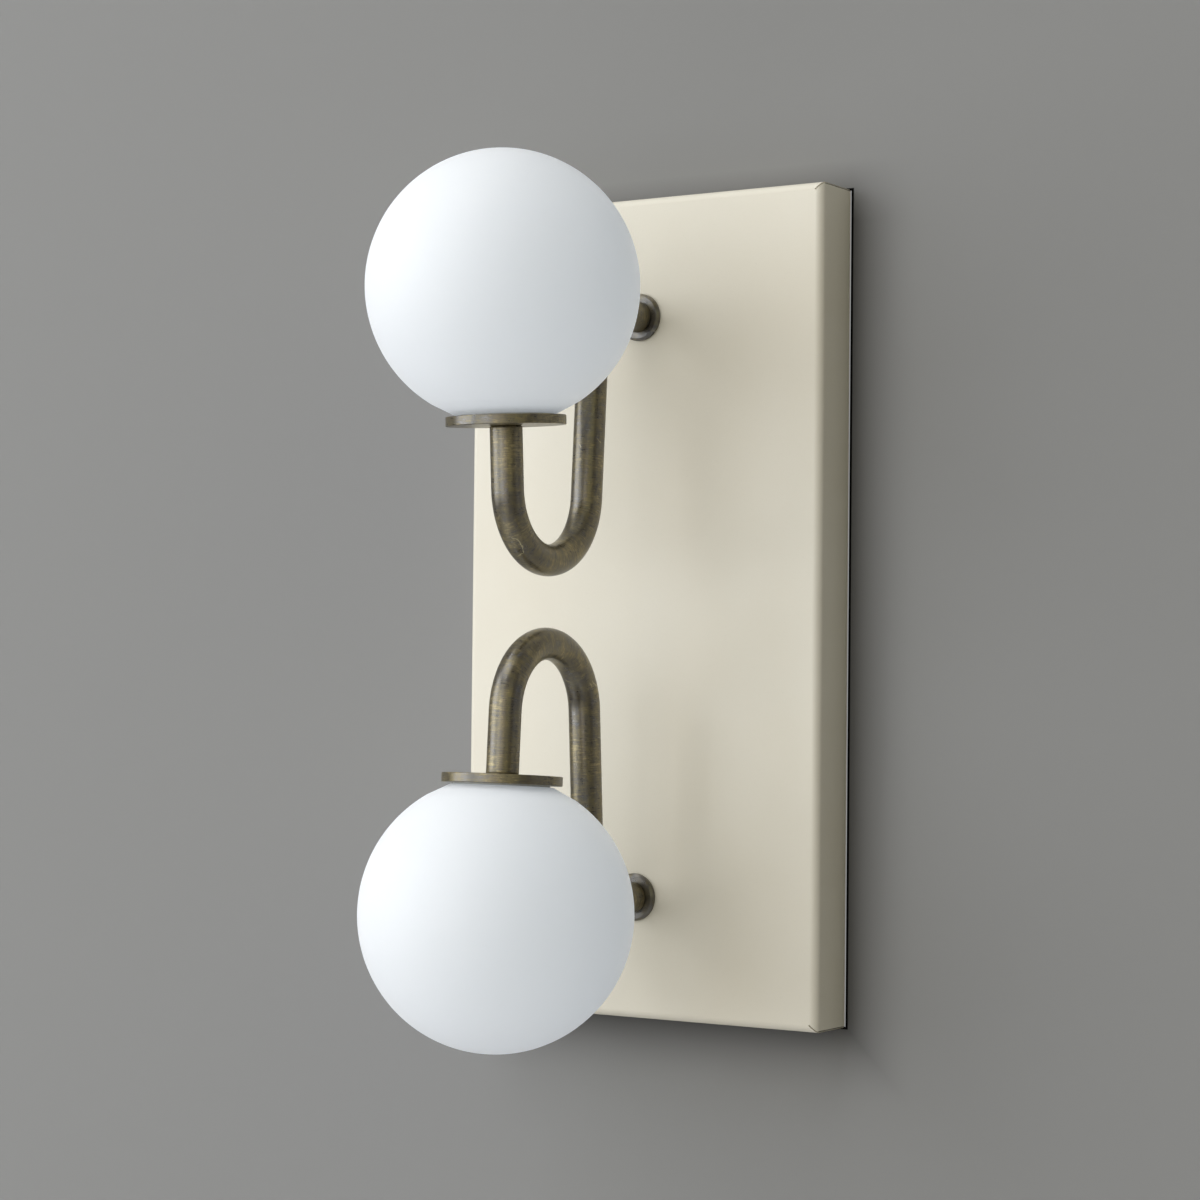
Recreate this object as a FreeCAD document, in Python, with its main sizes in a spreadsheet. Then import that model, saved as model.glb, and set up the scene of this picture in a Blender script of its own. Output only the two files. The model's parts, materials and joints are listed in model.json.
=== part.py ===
"""Double arm wall sconce: a folded cover on a wall bracket, two bent brass arms and two opal globes.

Millimetres. +Z is up, the wall is the plane Y = 0 and the light stands out from it towards -Y. The
origin is the centre of the bracket's face against the wall. The lower arm and its head are the upper
ones turned half a turn about the Y axis.
"""
import FreeCAD, Part
import math
import operator
import os
import Sketcher
from FreeCAD import Vector

SIZES = [
    ("cover_width", 160, "cover, side to side"),
    ("cover_height", 320, "cover, top to bottom"),
    ("cover_depth", 23, "cover flanges, front face to back edge"),
    ("cover_sheet", 1.5, "cover sheet thickness"),
    ("cover_bend", 3, "outside radius of the cover's folds"),
    ("seam_gap", 0.5, "open mitre seam at the cover's corners"),
    ("wall_gap", 1, "from the wall to the cover's back edge"),
    ("bracket_width", 60, "wall bracket plate, side to side"),
    ("bracket_height", 272, "wall bracket plate, top to bottom"),
    ("bracket_sheet", 2, "wall bracket sheet thickness"),
    ("bracket_bend", 1, "inside radius of the bracket's folds"),
    ("tab_width", 30, "folded end tabs of the bracket"),
    ("tab_depth", 17, "folded end tabs, from the wall"),
    ("tab_clearance", 0.4, "between an end tab and the cover"),
    ("wall_slot_spacing", 230, "between the two wall screw slots"),
    ("wall_slot_length", 16, "wall screw slot, end to end"),
    ("wall_slot_width", 5, "wall screw slot"),
    ("box_slot_spacing", 79, "between the two box screw slots"),
    ("box_slot_length", 24, "box screw slot, end to end"),
    ("box_slot_width", 4.5, "box screw slot"),
    ("cable_hole", 20, "cable hole in the bracket"),
    ("cable_bore", 12, "bore of the cable grommet"),
    ("grommet_lip", 2.5, "grommet lip beyond the hole"),
    ("grommet_lip_thickness", 1.2, "grommet lip, along the bore"),
    ("cover_screw_diameter", 4, "set screws that hold the cover"),
    ("cover_screw_length", 8, "set screws that hold the cover"),
    ("cover_screw_setback", 10, "set screw axis to the wall"),
    ("cover_screw_recess", 0.2, "set screw end below the cover's face"),
    ("cover_screw_socket", 2, "hexagon socket, across flats"),
    ("cover_screw_socket_depth", 2.5, "hexagon socket"),
    ("screw_clearance", 0.1, "radial, screw in its tapped hole"),
    ("pass_clearance", 0.3, "radial, screw or nipple through plain sheet"),
    ("terminal_width", 36, "terminal block, along its three poles"),
    ("terminal_height", 17, "terminal block, along the wires"),
    ("terminal_depth", 14, "terminal block, off the bracket"),
    ("terminal_centre", 75, "terminal block above the centre"),
    ("terminal_pitch", 12, "between poles of the terminal block"),
    ("terminal_rise", 3, "raised barrels of the terminal block"),
    ("pole_screw_diameter", 4, "clamp screws of the terminal block"),
    ("pole_screw_length", 5, "clamp screws of the terminal block"),
    ("pole_screw_spacing", 8, "between the two clamp screws of a pole"),
    ("pole_screw_sink", 1.5, "clamp screws, below the tops of their barrels"),
    ("fixing_screw_diameter", 3, "screws that hold the terminal block"),
    ("fixing_screw_head", 5.5, "screws that hold the terminal block"),
    ("earth_screw_diameter", 4, "earth screw"),
    ("earth_screw_head", 8, "earth screw head"),
    ("earth_screw_head_height", 2.6, "earth screw head"),
    ("earth_across", 20, "earth screw, to the left of the centre"),
    ("earth_height", 22, "earth screw above the centre"),
    ("lug_thickness", 0.8, "ring terminal on the earth screw"),
    ("lug_barrel_length", 8, "crimped barrel of the ring terminal"),
    ("earth_lead_diameter", 2.6, "earth lead over its insulation"),
    ("earth_lead_stand_off", 6, "earth lead axis from the wall"),
    ("mount_spacing", 226, "between the two arm holes"),
    ("tube_diameter", 12, "arm tube"),
    ("tube_wall", 1.5, "arm tube"),
    ("tube_end_bevel", 0.5, "bevel round the ends of the arm tube"),
    ("bend_radius", 26.5, "arm bends, at the tube's centre line"),
    ("bend_reach", 64, "cover's front to the centre of the U bend"),
    ("bend_gap", 19, "clear space between the two U bends"),
    ("leg_splay", 3.5, "degrees, each leg off the vertical"),
    ("front_leg", 23, "front leg, U bend to disc"),
    ("collar_diameter", 18.4, "collar under the arm"),
    ("collar_thickness", 2, "collar under the arm"),
    ("collar_bevel", 0.9, "bevelled rim of the collar"),
    ("nipple_diameter", 10, "threaded nipples"),
    ("nipple_bore", 8, "threaded nipples"),
    ("nipple_grip", 7, "nipple inside the tube's end"),
    ("nipple_tail", 1.5, "arm nipple beyond its nut"),
    ("head_nipple_tail", 0.5, "head nipple beyond its nut"),
    ("tapped_depth", 8, "tapped end of the arm tube"),
    ("washer_diameter", 17, "toothed lock washer"),
    ("washer_thickness", 0.8, "toothed lock washer"),
    ("washer_tooth", 2, "toothed lock washer, tooth length"),
    ("nut_across", 14, "hexagon nuts, across flats"),
    ("nut_height", 3, "hexagon nuts"),
    ("disc_diameter", 44, "round disc under the globe"),
    ("disc_thickness", 3.5, "round disc under the globe"),
    ("disc_edge", 0.3, "rounded edges of the disc"),
    ("carrier_diameter", 28.6, "carrier that the globe screws on to"),
    ("carrier_height", 10, "carrier that the globe screws on to"),
    ("carrier_floor", 1.5, "floor of the carrier"),
    ("carrier_nut_bore", 18, "lower bore of the carrier, round the nut"),
    ("carrier_ledge", 6, "ledge that the lamp holder sits on"),
    ("thread_clearance", 0.3, "radial, globe neck on its carrier"),
    ("holder_diameter", 22, "flange of the lamp holder"),
    ("holder_flange", 4, "flange of the lamp holder"),
    ("holder_height", 16, "lamp holder"),
    ("holder_width", 18, "block of the lamp holder, along the pins"),
    ("holder_breadth", 13, "block of the lamp holder, across the pins"),
    ("holder_clearance", 0.3, "radial, lamp holder in its carrier"),
    ("pin_spacing", 9, "between the lamp's two pins"),
    ("pin_width", 2.4, "looped wire pin, along the spacing"),
    ("pin_thickness", 0.8, "looped wire pin"),
    ("pin_length", 8.5, "pin below the lamp's base"),
    ("pin_round", 0.8, "rounded ends of the pins"),
    ("pin_slot_depth", 10, "pin slots in the lamp holder"),
    ("pin_clearance", 0.4, "pin to the side of its slot"),
    ("holder_screw_diameter", 2.5, "screws that hold the lamp holder"),
    ("holder_screw_head", 4.2, "screws that hold the lamp holder"),
    ("holder_screw_head_height", 1.6, "screws that hold the lamp holder"),
    ("holder_screw_length", 7, "under the head"),
    ("bulb_diameter", 15, "lamp envelope"),
    ("bulb_wall", 1, "lamp envelope"),
    ("bulb_length", 42, "lamp, base and envelope"),
    ("bulb_base_height", 9, "lamp base"),
    ("bulb_seat", 0.3, "lamp base above its holder"),
    ("globe_diameter", 100, "opal globe"),
    ("globe_wall", 3, "opal glass"),
    ("globe_foot_ledge", 1.03, "flat foot of the globe, outside its neck"),
    ("globe_rim_round", 0.8, "rounded foot of the globe"),
    ("neck_wall", 3, "threaded neck inside the globe"),
    ("neck_height", 9, "threaded neck inside the globe"),
    ("seal_thickness", 0.5, "silicone ring under the globe"),
    ("seal_width", 3, "silicone ring under the globe"),
    ("lead_diameter", 5, "two-core lead in the arm"),
    ("lead_bend", 8, "lead bend inside the cover, centre line"),
]
POLE_COUNT = 3
WASHER_TEETH = 10
TOOTH_FILL = 0.5
HEXAGON_CORNERS = 6
HEX_CORNER = 1 / math.cos(math.pi / HEXAGON_CORNERS)
PAN_HEIGHT = 0.6
SLOT_WIDTH = 0.18
SLOT_DEPTH = 0.25
HALF_TURN = 180
QUARTER_TURN = 90
CLEAR_OUTSIDE = 1
TOUCH = 1e-4
OPERATIONS = {"+": operator.add, "-": operator.sub, "*": operator.mul, "/": operator.truediv}
SIDES = (1, -1)

document = FreeCAD.newDocument("WallSconce")
sheet = document.addObject("Spreadsheet::Sheet", "Sizes")
for row, (alias, value, meaning) in enumerate(SIZES, 1):
    sheet.set(f"A{row}", meaning)
    sheet.set(f"B{row}", str(value))
    sheet.setAlias(f"B{row}", alias)
document.recompute()
pieces = []


class Size:
    """A number that carries both its value and the sheet expression that gives it."""

    def __init__(self, value, text):
        self.value = value
        self.text = text

    def __add__(self, other):
        return join(self, "+", other)

    def __sub__(self, other):
        return join(self, "-", other)

    def __mul__(self, other):
        return join(self, "*", other)

    def __truediv__(self, other):
        return join(self, "/", other)

    def __radd__(self, other):
        return join(other, "+", self)

    def __rsub__(self, other):
        return join(other, "-", self)

    def __rmul__(self, other):
        return join(other, "*", self)

    def __neg__(self):
        return join(0, "-", self)


def as_size(number):
    """Give a plain number the form of a size."""
    return number if isinstance(number, Size) else Size(number, repr(number))


def join(left, sign, right):
    """Combine two sizes, in value and in expression."""
    left = as_size(left)
    right = as_size(right)
    return Size(OPERATIONS[sign](left.value, right.value), f"({left.text} {sign} {right.text})")


def root(size):
    """Square root."""
    return Size(math.sqrt(size.value), f"sqrt({size.text})")


def sine(angle):
    """Sine of an angle in degrees."""
    return Size(math.sin(math.radians(angle.value)), f"sin({angle.text})")


def cosine(angle):
    """Cosine of an angle in degrees."""
    return Size(math.cos(math.radians(angle.value)), f"cos({angle.text})")


class Sheet:
    """The spreadsheet's cells, read by name as sizes."""

    def __getattr__(self, alias):
        return Size(float(sheet.get(alias)), f"Sizes.{alias}")


size = Sheet()


def bind(item, name, value):
    """Tie a property to a size, so that it follows the sheet."""
    item.setExpression(name, as_size(value).text)


# ---------------------------------------------------------------- sketches


def new_sketch(body, role, name, offset=None):
    """Lay a sketch on one of the body's own origin planes, or at an offset above it."""
    sketch = body.newObject("Sketcher::SketchObject", name)
    plane = next(item for item in body.Origin.OriginFeatures if item.Role == role)
    sketch.AttachmentSupport = [(plane, "")]
    sketch.MapMode = "FlatFace"
    if offset is not None:
        bind(sketch, "AttachmentOffset.Base.z", offset)
    return sketch


def pin(sketch, shape, end, point, kinds=("DistanceX", "DistanceY")):
    """Hold one end, or the centre, of a curve at a point measured from the sketch's origin."""
    for kind, distance in zip(("DistanceX", "DistanceY"), point):
        if kind in kinds:
            distance = as_size(distance)
            index = sketch.addConstraint(Sketcher.Constraint(kind, -1, 1, shape, end, distance.value))
            bind(sketch, f"Constraints[{index}]", distance)


def set_radius(sketch, shape, radius):
    """Give a circle or an arc its radius."""
    radius = as_size(radius)
    index = sketch.addConstraint(Sketcher.Constraint("Radius", shape, radius.value))
    bind(sketch, f"Constraints[{index}]", radius)


def spot(point):
    """A sketch point as a vector."""
    return Vector(*(as_size(part).value for part in point), 0)


def draw_circle(sketch, centre, radius):
    """Add a circle."""
    shape = sketch.addGeometry(Part.Circle(spot(centre), Vector(0, 0, 1), as_size(radius).value))
    pin(sketch, shape, 3, centre)
    set_radius(sketch, shape, radius)


def draw_run(sketch, start, finish, bend):
    """Add a line, or an arc where bend gives its centre and +1 for anticlockwise."""
    if bend is None:
        return sketch.addGeometry(Part.LineSegment(spot(start), spot(finish))), 1, 2
    centre, turn = bend
    first, last = (start, finish) if turn > 0 else (finish, start)
    arms = [spot(end) - spot(centre) for end in (first, last)]
    angles = [math.atan2(arm.y, arm.x) for arm in arms]
    if angles[1] <= angles[0]:
        angles[1] += 2 * math.pi
    circle = Part.Circle(spot(centre), Vector(0, 0, 1), arms[0].Length)
    shape = sketch.addGeometry(Part.ArcOfCircle(circle, *angles))
    chord = spot(finish) - spot(start)
    pin(sketch, shape, 3, centre, ("DistanceY",) if abs(chord.x) > abs(chord.y) else ("DistanceX",))
    return (shape, 1, 2) if turn > 0 else (shape, 2, 1)


def draw_chain(sketch, corners, bends=None, closed=True):
    """Join pinned corners by lines and arcs; bends maps a corner's number to the arc that leaves it."""
    bends = bends or {}
    runs = []
    for number, corner in enumerate(corners):
        if number + 1 < len(corners) or closed:
            following = corners[(number + 1) % len(corners)]
            runs.append(draw_run(sketch, corner, following, bends.get(number)))
            pin(sketch, runs[-1][0], runs[-1][1], corner)
    if not closed:
        pin(sketch, runs[-1][0], runs[-1][2], corners[-1])
    for before, after in zip(runs, runs[1:] + (runs[:1] if closed else [])):
        sketch.addConstraint(Sketcher.Constraint("Coincident", before[0], before[2], after[0], after[1]))


def draw_rectangle(sketch, centre, width, height):
    """Add a rectangle about a centre."""
    across, up = centre
    left, right = across - width / 2, across + width / 2
    low, high = up - height / 2, up + height / 2
    draw_chain(sketch, [(left, low), (right, low), (right, high), (left, high)])


def draw_slot(sketch, centre, length, width):
    """Add an upright slot with round ends."""
    across, up = centre
    reach = (length - width) / 2
    radius = width / 2
    corners = [(across + radius, up - reach), (across + radius, up + reach),
               (across - radius, up + reach), (across - radius, up - reach)]
    bends = {1: ((across, up + reach), 1), 3: ((across, up - reach), 1)}
    draw_chain(sketch, corners, bends)


def draw_hexagon(sketch, across):
    """Add a hexagon about the origin, given across its flats."""
    corner = across / 2 * HEX_CORNER
    angles = [2 * math.pi * number / HEXAGON_CORNERS for number in range(HEXAGON_CORNERS)]
    draw_chain(sketch, [(corner * math.cos(angle), corner * math.sin(angle)) for angle in angles])


# ---------------------------------------------------------------- features


def new_body(name):
    """Start a sub-part; its label names its file."""
    body = document.addObject("PartDesign::Body", name)
    body.Label = name
    return body


def finish(item, place=None):
    """Set a sub-part in its place and list it for writing."""
    if place is not None:
        item.setExpression("Placement", place)
    pieces.append(item)
    return item


def pad(body, sketch, length, name="Pad", midplane=False, backwards=False):
    """Raise a sketch into a solid."""
    feature = body.newObject("PartDesign::Pad", name)
    feature.Profile = sketch
    feature.Midplane = midplane
    feature.Reversed = backwards
    bind(feature, "Length", length)
    return feature


def cut_through(body, sketch, name="Through"):
    """Cut a sketch through the whole solid, both ways."""
    feature = body.newObject("PartDesign::Pocket", name)
    feature.Profile = sketch
    feature.Type = "ThroughAll"
    feature.Midplane = True
    return feature


def cut_down(body, sketch, depth, name="Pocket"):
    """Cut a sketch downwards to a depth, against the sketch's normal."""
    feature = body.newObject("PartDesign::Pocket", name)
    feature.Profile = sketch
    bind(feature, "Length", depth)
    return feature


def spin(body, sketch, kind="Revolution"):
    """Turn a profile of radius and height about the upright axis, to add or to cut away."""
    feature = body.newObject(f"PartDesign::{kind}", kind)
    feature.Profile = sketch
    feature.ReferenceAxis = (sketch, ["V_Axis"])
    feature.Angle = 2 * HALF_TURN
    return feature


def edges_of(feature, wanted):
    """Names of the edges that a test picks out."""
    document.recompute()
    return [f"Edge{number}" for number, edge in enumerate(feature.Shape.Edges, 1) if wanted(edge)]


def ease(body, feature, wanted, amount, kind="Fillet"):
    """Round or bevel the edges that a test picks out."""
    edging = body.newObject(f"PartDesign::{kind}", kind)
    edging.Base = (feature, edges_of(feature, wanted))
    bind(edging, "Radius" if kind == "Fillet" else "Size", amount)
    return edging


def lies_at(edge, axis, value):
    """Whether a whole edge lies at one value of one coordinate."""
    box = edge.BoundBox
    low, high = getattr(box, axis + "Min"), getattr(box, axis + "Max")
    return abs(low - value) < TOUCH and abs(high - value) < TOUCH


def spans_radius(edge, radius):
    """Whether an edge is a circle of one radius about the upright axis."""
    curve = edge.Curve
    return isinstance(curve, Part.Circle) and abs(curve.Radius - radius) < TOUCH


def group(name, item, mirror_normal, place=None):
    """Two like fasteners as one sub-part: the piece and its mirror image."""
    twin = document.addObject("Part::Mirroring", name + "Twin")
    twin.Source = item
    twin.Normal = mirror_normal
    both = document.addObject("Part::Compound", name)
    both.Label = name
    both.Links = [item, twin]
    return finish(both, place)


def ring(name, inner, outer, low, high):
    """A flat ring about the upright axis, between two heights: the sub-part and its pad."""
    body = new_body(name)
    sketch = new_sketch(body, "XY_Plane", "RingSketch", low)
    draw_circle(sketch, (0, 0), outer)
    draw_circle(sketch, (0, 0), inner)
    return body, pad(body, sketch, high - low)


# ---------------------------------------------------------------- where the arms and heads sit

cover_front = size.wall_gap + size.cover_depth
arm_height = size.mount_spacing / 2
tube_radius = size.tube_diameter / 2
tube_bore = tube_radius - size.tube_wall
nipple_radius = size.nipple_diameter / 2
nipple_hole = nipple_radius + size.pass_clearance
lean_sine = sine(size.leg_splay)
lean_cosine = cosine(size.leg_splay)

# The arm's centre line lies in one upright plane. Its points are (rise above the arm hole, reach in
# front of the cover). The rear leg leans away from the cover going down, the front leg going up.
bend_centre = (size.bend_gap / 2 + tube_radius + size.bend_radius - arm_height, size.bend_reach)
lean_reach = size.bend_radius * lean_cosine
foot_rise = bend_centre[0] - size.bend_radius * lean_sine
rear_foot = (foot_rise, bend_centre[1] - lean_reach)
front_foot = (foot_rise, bend_centre[1] + lean_reach)
elbow_rise = -size.bend_radius
elbow_drop = (elbow_rise - bend_centre[0]) * lean_sine
elbow_centre = (elbow_rise, bend_centre[1] - (2 * size.bend_radius + elbow_drop) / lean_cosine)
elbow_start = (as_size(0.0), elbow_centre[1])
rear_top = (elbow_rise + size.bend_radius * lean_sine, elbow_centre[1] + lean_reach)
leg_end = (front_foot[0] + size.front_leg * lean_cosine, front_foot[1] + size.front_leg * lean_sine)


def turned(tilt, lower):
    """Expression of a turn about X by tilt, and for the lower arm half a turn about Y after it."""
    tilt = as_size(tilt)
    if lower:
        return f"rotation(vector(0; cos({tilt.text} / 2); -sin({tilt.text} / 2)); {HALF_TURN})"
    return f"rotation(vector(1; 0; 0); {tilt.text})"


def placed(rise, reach, tilt, lower):
    """Expression of a place on an arm, from its rise above the arm hole and its reach."""
    height = arm_height + rise
    height = -height if lower else height
    spot_text = f"vector(0; {(-(cover_front + reach)).text}; {height.text})"
    return f"placement({spot_text}; {turned(tilt, lower)})"


# ---------------------------------------------------------------- cover, bracket and wiring


def make_cover():
    """Folded tray: rounded folds, open mitre seams at the corners, arm holes and set screw holes."""
    body = new_body("cover")
    outline = new_sketch(body, "XZ_Plane", "Outline")
    draw_rectangle(outline, (as_size(0), as_size(0)), size.cover_width, size.cover_height)
    block = pad(body, outline, size.cover_depth)
    folds = ease(body, block, lambda edge: lies_at(edge, "Y", -size.cover_depth.value), size.cover_bend)
    document.recompute()
    back = [f"Face{number}" for number, face in enumerate(folds.Shape.Faces, 1) if lies_at(face, "Y", 0)]
    shell = body.newObject("PartDesign::Thickness", "Sheet")
    shell.Base = (folds, back)
    shell.Reversed = True
    bind(shell, "Value", size.cover_sheet)
    seams = new_sketch(body, "XZ_Plane", "CornerSeams")
    diagonal = math.sqrt(0.5)
    for across in SIDES:
        for up in SIDES:
            draw_seam(seams, across, up, diagonal)
    cut_through(body, seams, "Seams")
    holes = new_sketch(body, "XZ_Plane", "ArmHoles")
    for up in SIDES:
        draw_circle(holes, (0, up * arm_height), nipple_hole)
    cut_through(body, holes, "ArmHolesCut")
    screw_holes = new_sketch(body, "XY_Plane", "ScrewHoles")
    screw_centre = (0, size.wall_gap - size.cover_screw_setback)
    draw_circle(screw_holes, screw_centre, size.cover_screw_diameter / 2 + size.pass_clearance)
    cut_through(body, screw_holes, "ScrewHolesCut")
    finish(body, f"placement(vector(0; {(-size.wall_gap).text}; 0); rotation(vector(0; 0; 1); 0))")


def draw_seam(sketch, across, up, diagonal):
    """A narrow slot along a corner's diagonal, from outside the corner to the end of the folds."""
    corner = (across * (size.cover_width / 2), up * (size.cover_height / 2))
    half = size.seam_gap / 2 * diagonal
    inward = size.cover_bend
    corners = []
    for travel, side in ((CLEAR_OUTSIDE, 1), (CLEAR_OUTSIDE, -1), (-inward, -1), (-inward, 1)):
        corners.append((corner[0] + across * travel + side * up * half,
                        corner[1] + up * travel - side * across * half))
    draw_chain(sketch, corners)


def make_bracket():
    """Steel strap against the wall with two folded end tabs, slots, a cable hole and tapped holes."""
    body = new_body("wall_bracket")
    end = size.cover_height / 2 - size.cover_sheet - size.tab_clearance
    sheet_depth = size.bracket_sheet
    profile = new_sketch(body, "YZ_Plane", "Strap")
    inner_end = end - sheet_depth
    draw_chain(profile, [(0, -end), (0, end), (-size.tab_depth, end), (-size.tab_depth, inner_end),
                         (-sheet_depth, inner_end), (-sheet_depth, -inner_end),
                         (-size.tab_depth, -inner_end), (-size.tab_depth, -end)])
    strap = pad(body, profile, size.tab_width, "StrapPad", midplane=True)
    outer = ease(body, strap, lambda edge: lies_at(edge, "Y", 0) and edge_runs_across(edge),
                 size.bracket_bend + sheet_depth)
    ease(body, outer, lambda edge: lies_at(edge, "Y", -sheet_depth.value) and edge_runs_across(edge),
         size.bracket_bend)
    plate = new_sketch(body, "XZ_Plane", "Plate")
    draw_rectangle(plate, (as_size(0), as_size(0)), size.bracket_width, size.bracket_height)
    pad(body, plate, sheet_depth, "PlatePad")
    slots = new_sketch(body, "XZ_Plane", "Slots")
    for up in SIDES:
        draw_slot(slots, (as_size(0), up * size.wall_slot_spacing / 2), size.wall_slot_length,
                  size.wall_slot_width)
        draw_slot(slots, (as_size(0), up * size.box_slot_spacing / 2), size.box_slot_length,
                  size.box_slot_width)
    draw_circle(slots, (0, 0), size.cable_hole / 2)
    draw_circle(slots, (-size.earth_across, size.earth_height),
                size.earth_screw_diameter / 2 + size.screw_clearance)
    for across in SIDES:
        draw_circle(slots, (across * size.terminal_pitch / 2, size.terminal_centre),
                    size.fixing_screw_diameter / 2 + size.screw_clearance)
    cut_through(body, slots, "SlotsCut")
    tapped = new_sketch(body, "XY_Plane", "TappedHoles")
    draw_circle(tapped, (0, -size.cover_screw_setback),
                size.cover_screw_diameter / 2 + size.screw_clearance)
    cut_through(body, tapped, "TappedHolesCut")
    finish(body)


def edge_runs_across(edge):
    """Whether an edge runs straight from side to side."""
    return edge.BoundBox.XLength > TOUCH and edge.BoundBox.ZLength < TOUCH


def make_cover_screws():
    """Headless set screws with a hexagon socket, one down through the top and its twin below."""
    body = new_body("cover_screw")
    top = size.cover_height / 2 - size.cover_screw_recess
    sketch = new_sketch(body, "XY_Plane", "Shank", top)
    draw_circle(sketch, (0, 0), size.cover_screw_diameter / 2)
    pad(body, sketch, size.cover_screw_length, backwards=True)
    socket = new_sketch(body, "XY_Plane", "Socket", top)
    draw_hexagon(socket, size.cover_screw_socket)
    cut_down(body, socket, size.cover_screw_socket_depth, "SocketCut")
    body.setExpression("Placement.Base.y", (-size.cover_screw_setback).text)
    group("cover_screws", body, Vector(0, 0, 1))


def make_grommet():
    """Rubber bush in the cable hole, with a lip on the side away from the wall."""
    body = new_body("cable_grommet")
    hole = size.cable_hole / 2
    bore = size.cable_bore / 2
    lip = size.bracket_sheet + size.grommet_lip_thickness
    sketch = new_sketch(body, "XZ_Plane", "Profile")
    draw_chain(sketch, [(bore, 0), (hole, 0), (hole, size.bracket_sheet),
                        (hole + size.grommet_lip, size.bracket_sheet), (hole + size.grommet_lip, lip),
                        (bore, lip)])
    spin(body, sketch)
    finish(body, f"placement(vector(0; 0; 0); rotation(vector(1; 0; 0); {QUARTER_TURN}))")


def make_terminal_block():
    """Three-pole terminal block: a base with three raised barrels, clamp screws and fixing screws."""
    place = block_place()
    body = new_body("terminal_block")
    base = new_sketch(body, "XY_Plane", "Base")
    draw_rectangle(base, (as_size(0), as_size(0)), size.terminal_width, size.terminal_height)
    pad(body, base, size.terminal_depth - size.terminal_rise, "BasePad")
    top = size.terminal_depth - size.terminal_rise
    barrels = new_sketch(body, "XY_Plane", "Barrels", top)
    barrel_width = size.terminal_pitch - size.fixing_screw_head - 2 * size.pass_clearance
    for pole in range(POLE_COUNT):
        centre = (pole_offset(pole), as_size(0))
        draw_rectangle(barrels, centre, barrel_width, size.terminal_height - size.terminal_rise)
    pad(body, barrels, size.terminal_rise, "BarrelPad")
    wells = new_sketch(body, "XY_Plane", "ScrewWells", size.terminal_depth)
    for pole in range(POLE_COUNT):
        for up in SIDES:
            draw_circle(wells, (pole_offset(pole), up * size.pole_screw_spacing / 2),
                        size.pole_screw_diameter / 2 + size.screw_clearance)
    cut_down(body, wells, size.pole_screw_length + size.pole_screw_sink, "Wells")
    passages = new_sketch(body, "XY_Plane", "FixingHoles")
    for across in SIDES:
        draw_circle(passages, (across * size.terminal_pitch / 2, 0),
                    size.fixing_screw_diameter / 2 + size.pass_clearance)
    cut_through(body, passages, "FixingHolesCut")
    finish(body, place)
    make_pole_screws(place)
    make_fixing_screws(place, top)


def block_place():
    """The terminal block's place: its base on the bracket's front, its depth towards the cover."""
    seat = f"vector(0; {(-size.bracket_sheet).text}; {size.terminal_centre.text})"
    return f"placement({seat}; rotation(vector(1; 0; 0); {QUARTER_TURN}))"


def pole_offset(pole):
    """Distance of a pole from the middle of the terminal block."""
    return (pole - (POLE_COUNT - 1) / 2) * size.terminal_pitch


def make_pole_screws(place):
    """Six slotted clamp screws, sunk in the barrels of the terminal block."""
    screws = []
    top = size.terminal_depth - size.pole_screw_sink
    for pole in range(POLE_COUNT):
        for up in SIDES:
            body = new_body(f"pole_screw_{pole}_{up}")
            sketch = new_sketch(body, "XY_Plane", "Shank", top)
            draw_circle(sketch, (0, 0), size.pole_screw_diameter / 2)
            pad(body, sketch, size.pole_screw_length, backwards=True)
            cut_slot(body, top, size.pole_screw_diameter, size.pole_screw_diameter * SLOT_DEPTH)
            bind(body, "Placement.Base.x", pole_offset(pole))
            bind(body, "Placement.Base.y", up * size.pole_screw_spacing / 2)
            screws.append(body)
    cluster = document.addObject("Part::Compound", "terminal_screws")
    cluster.Label = "terminal_screws"
    cluster.Links = screws
    finish(cluster, place)


def make_fixing_screws(place, top):
    """Two pan head screws that hold the terminal block to the bracket."""
    body = screw("fixing_screw", size.fixing_screw_diameter, size.fixing_screw_head,
                 size.fixing_screw_diameter * PAN_HEIGHT, top + size.bracket_sheet)
    bind(body, "Placement.Base.x", size.terminal_pitch / 2)
    bind(body, "Placement.Base.z", top)
    group("terminal_fixing_screws", body, Vector(1, 0, 0), place)


def screw(name, diameter, head, head_height, length):
    """A slotted pan head screw; its head stands on the plane of the origin."""
    body = new_body(name)
    sketch = new_sketch(body, "XZ_Plane", "Profile")
    crown = head_height / 2
    draw_chain(sketch, [(0, -length), (diameter / 2, -length), (diameter / 2, 0), (head / 2, 0),
                        (head / 2, crown), (head / 2 - crown, head_height), (0, head_height)],
               {4: ((head / 2 - crown, crown), 1)})
    spin(body, sketch)
    cut_slot(body, head_height, head, head_height / 2)
    return body


def cut_slot(body, top, diameter, depth):
    """Cut a screwdriver slot right across a round head or shank."""
    slot = new_sketch(body, "XY_Plane", "Slot", top)
    draw_rectangle(slot, (as_size(0), as_size(0)), diameter + CLEAR_OUTSIDE, diameter * SLOT_WIDTH)
    cut_down(body, slot, depth, "SlotCut")


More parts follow.
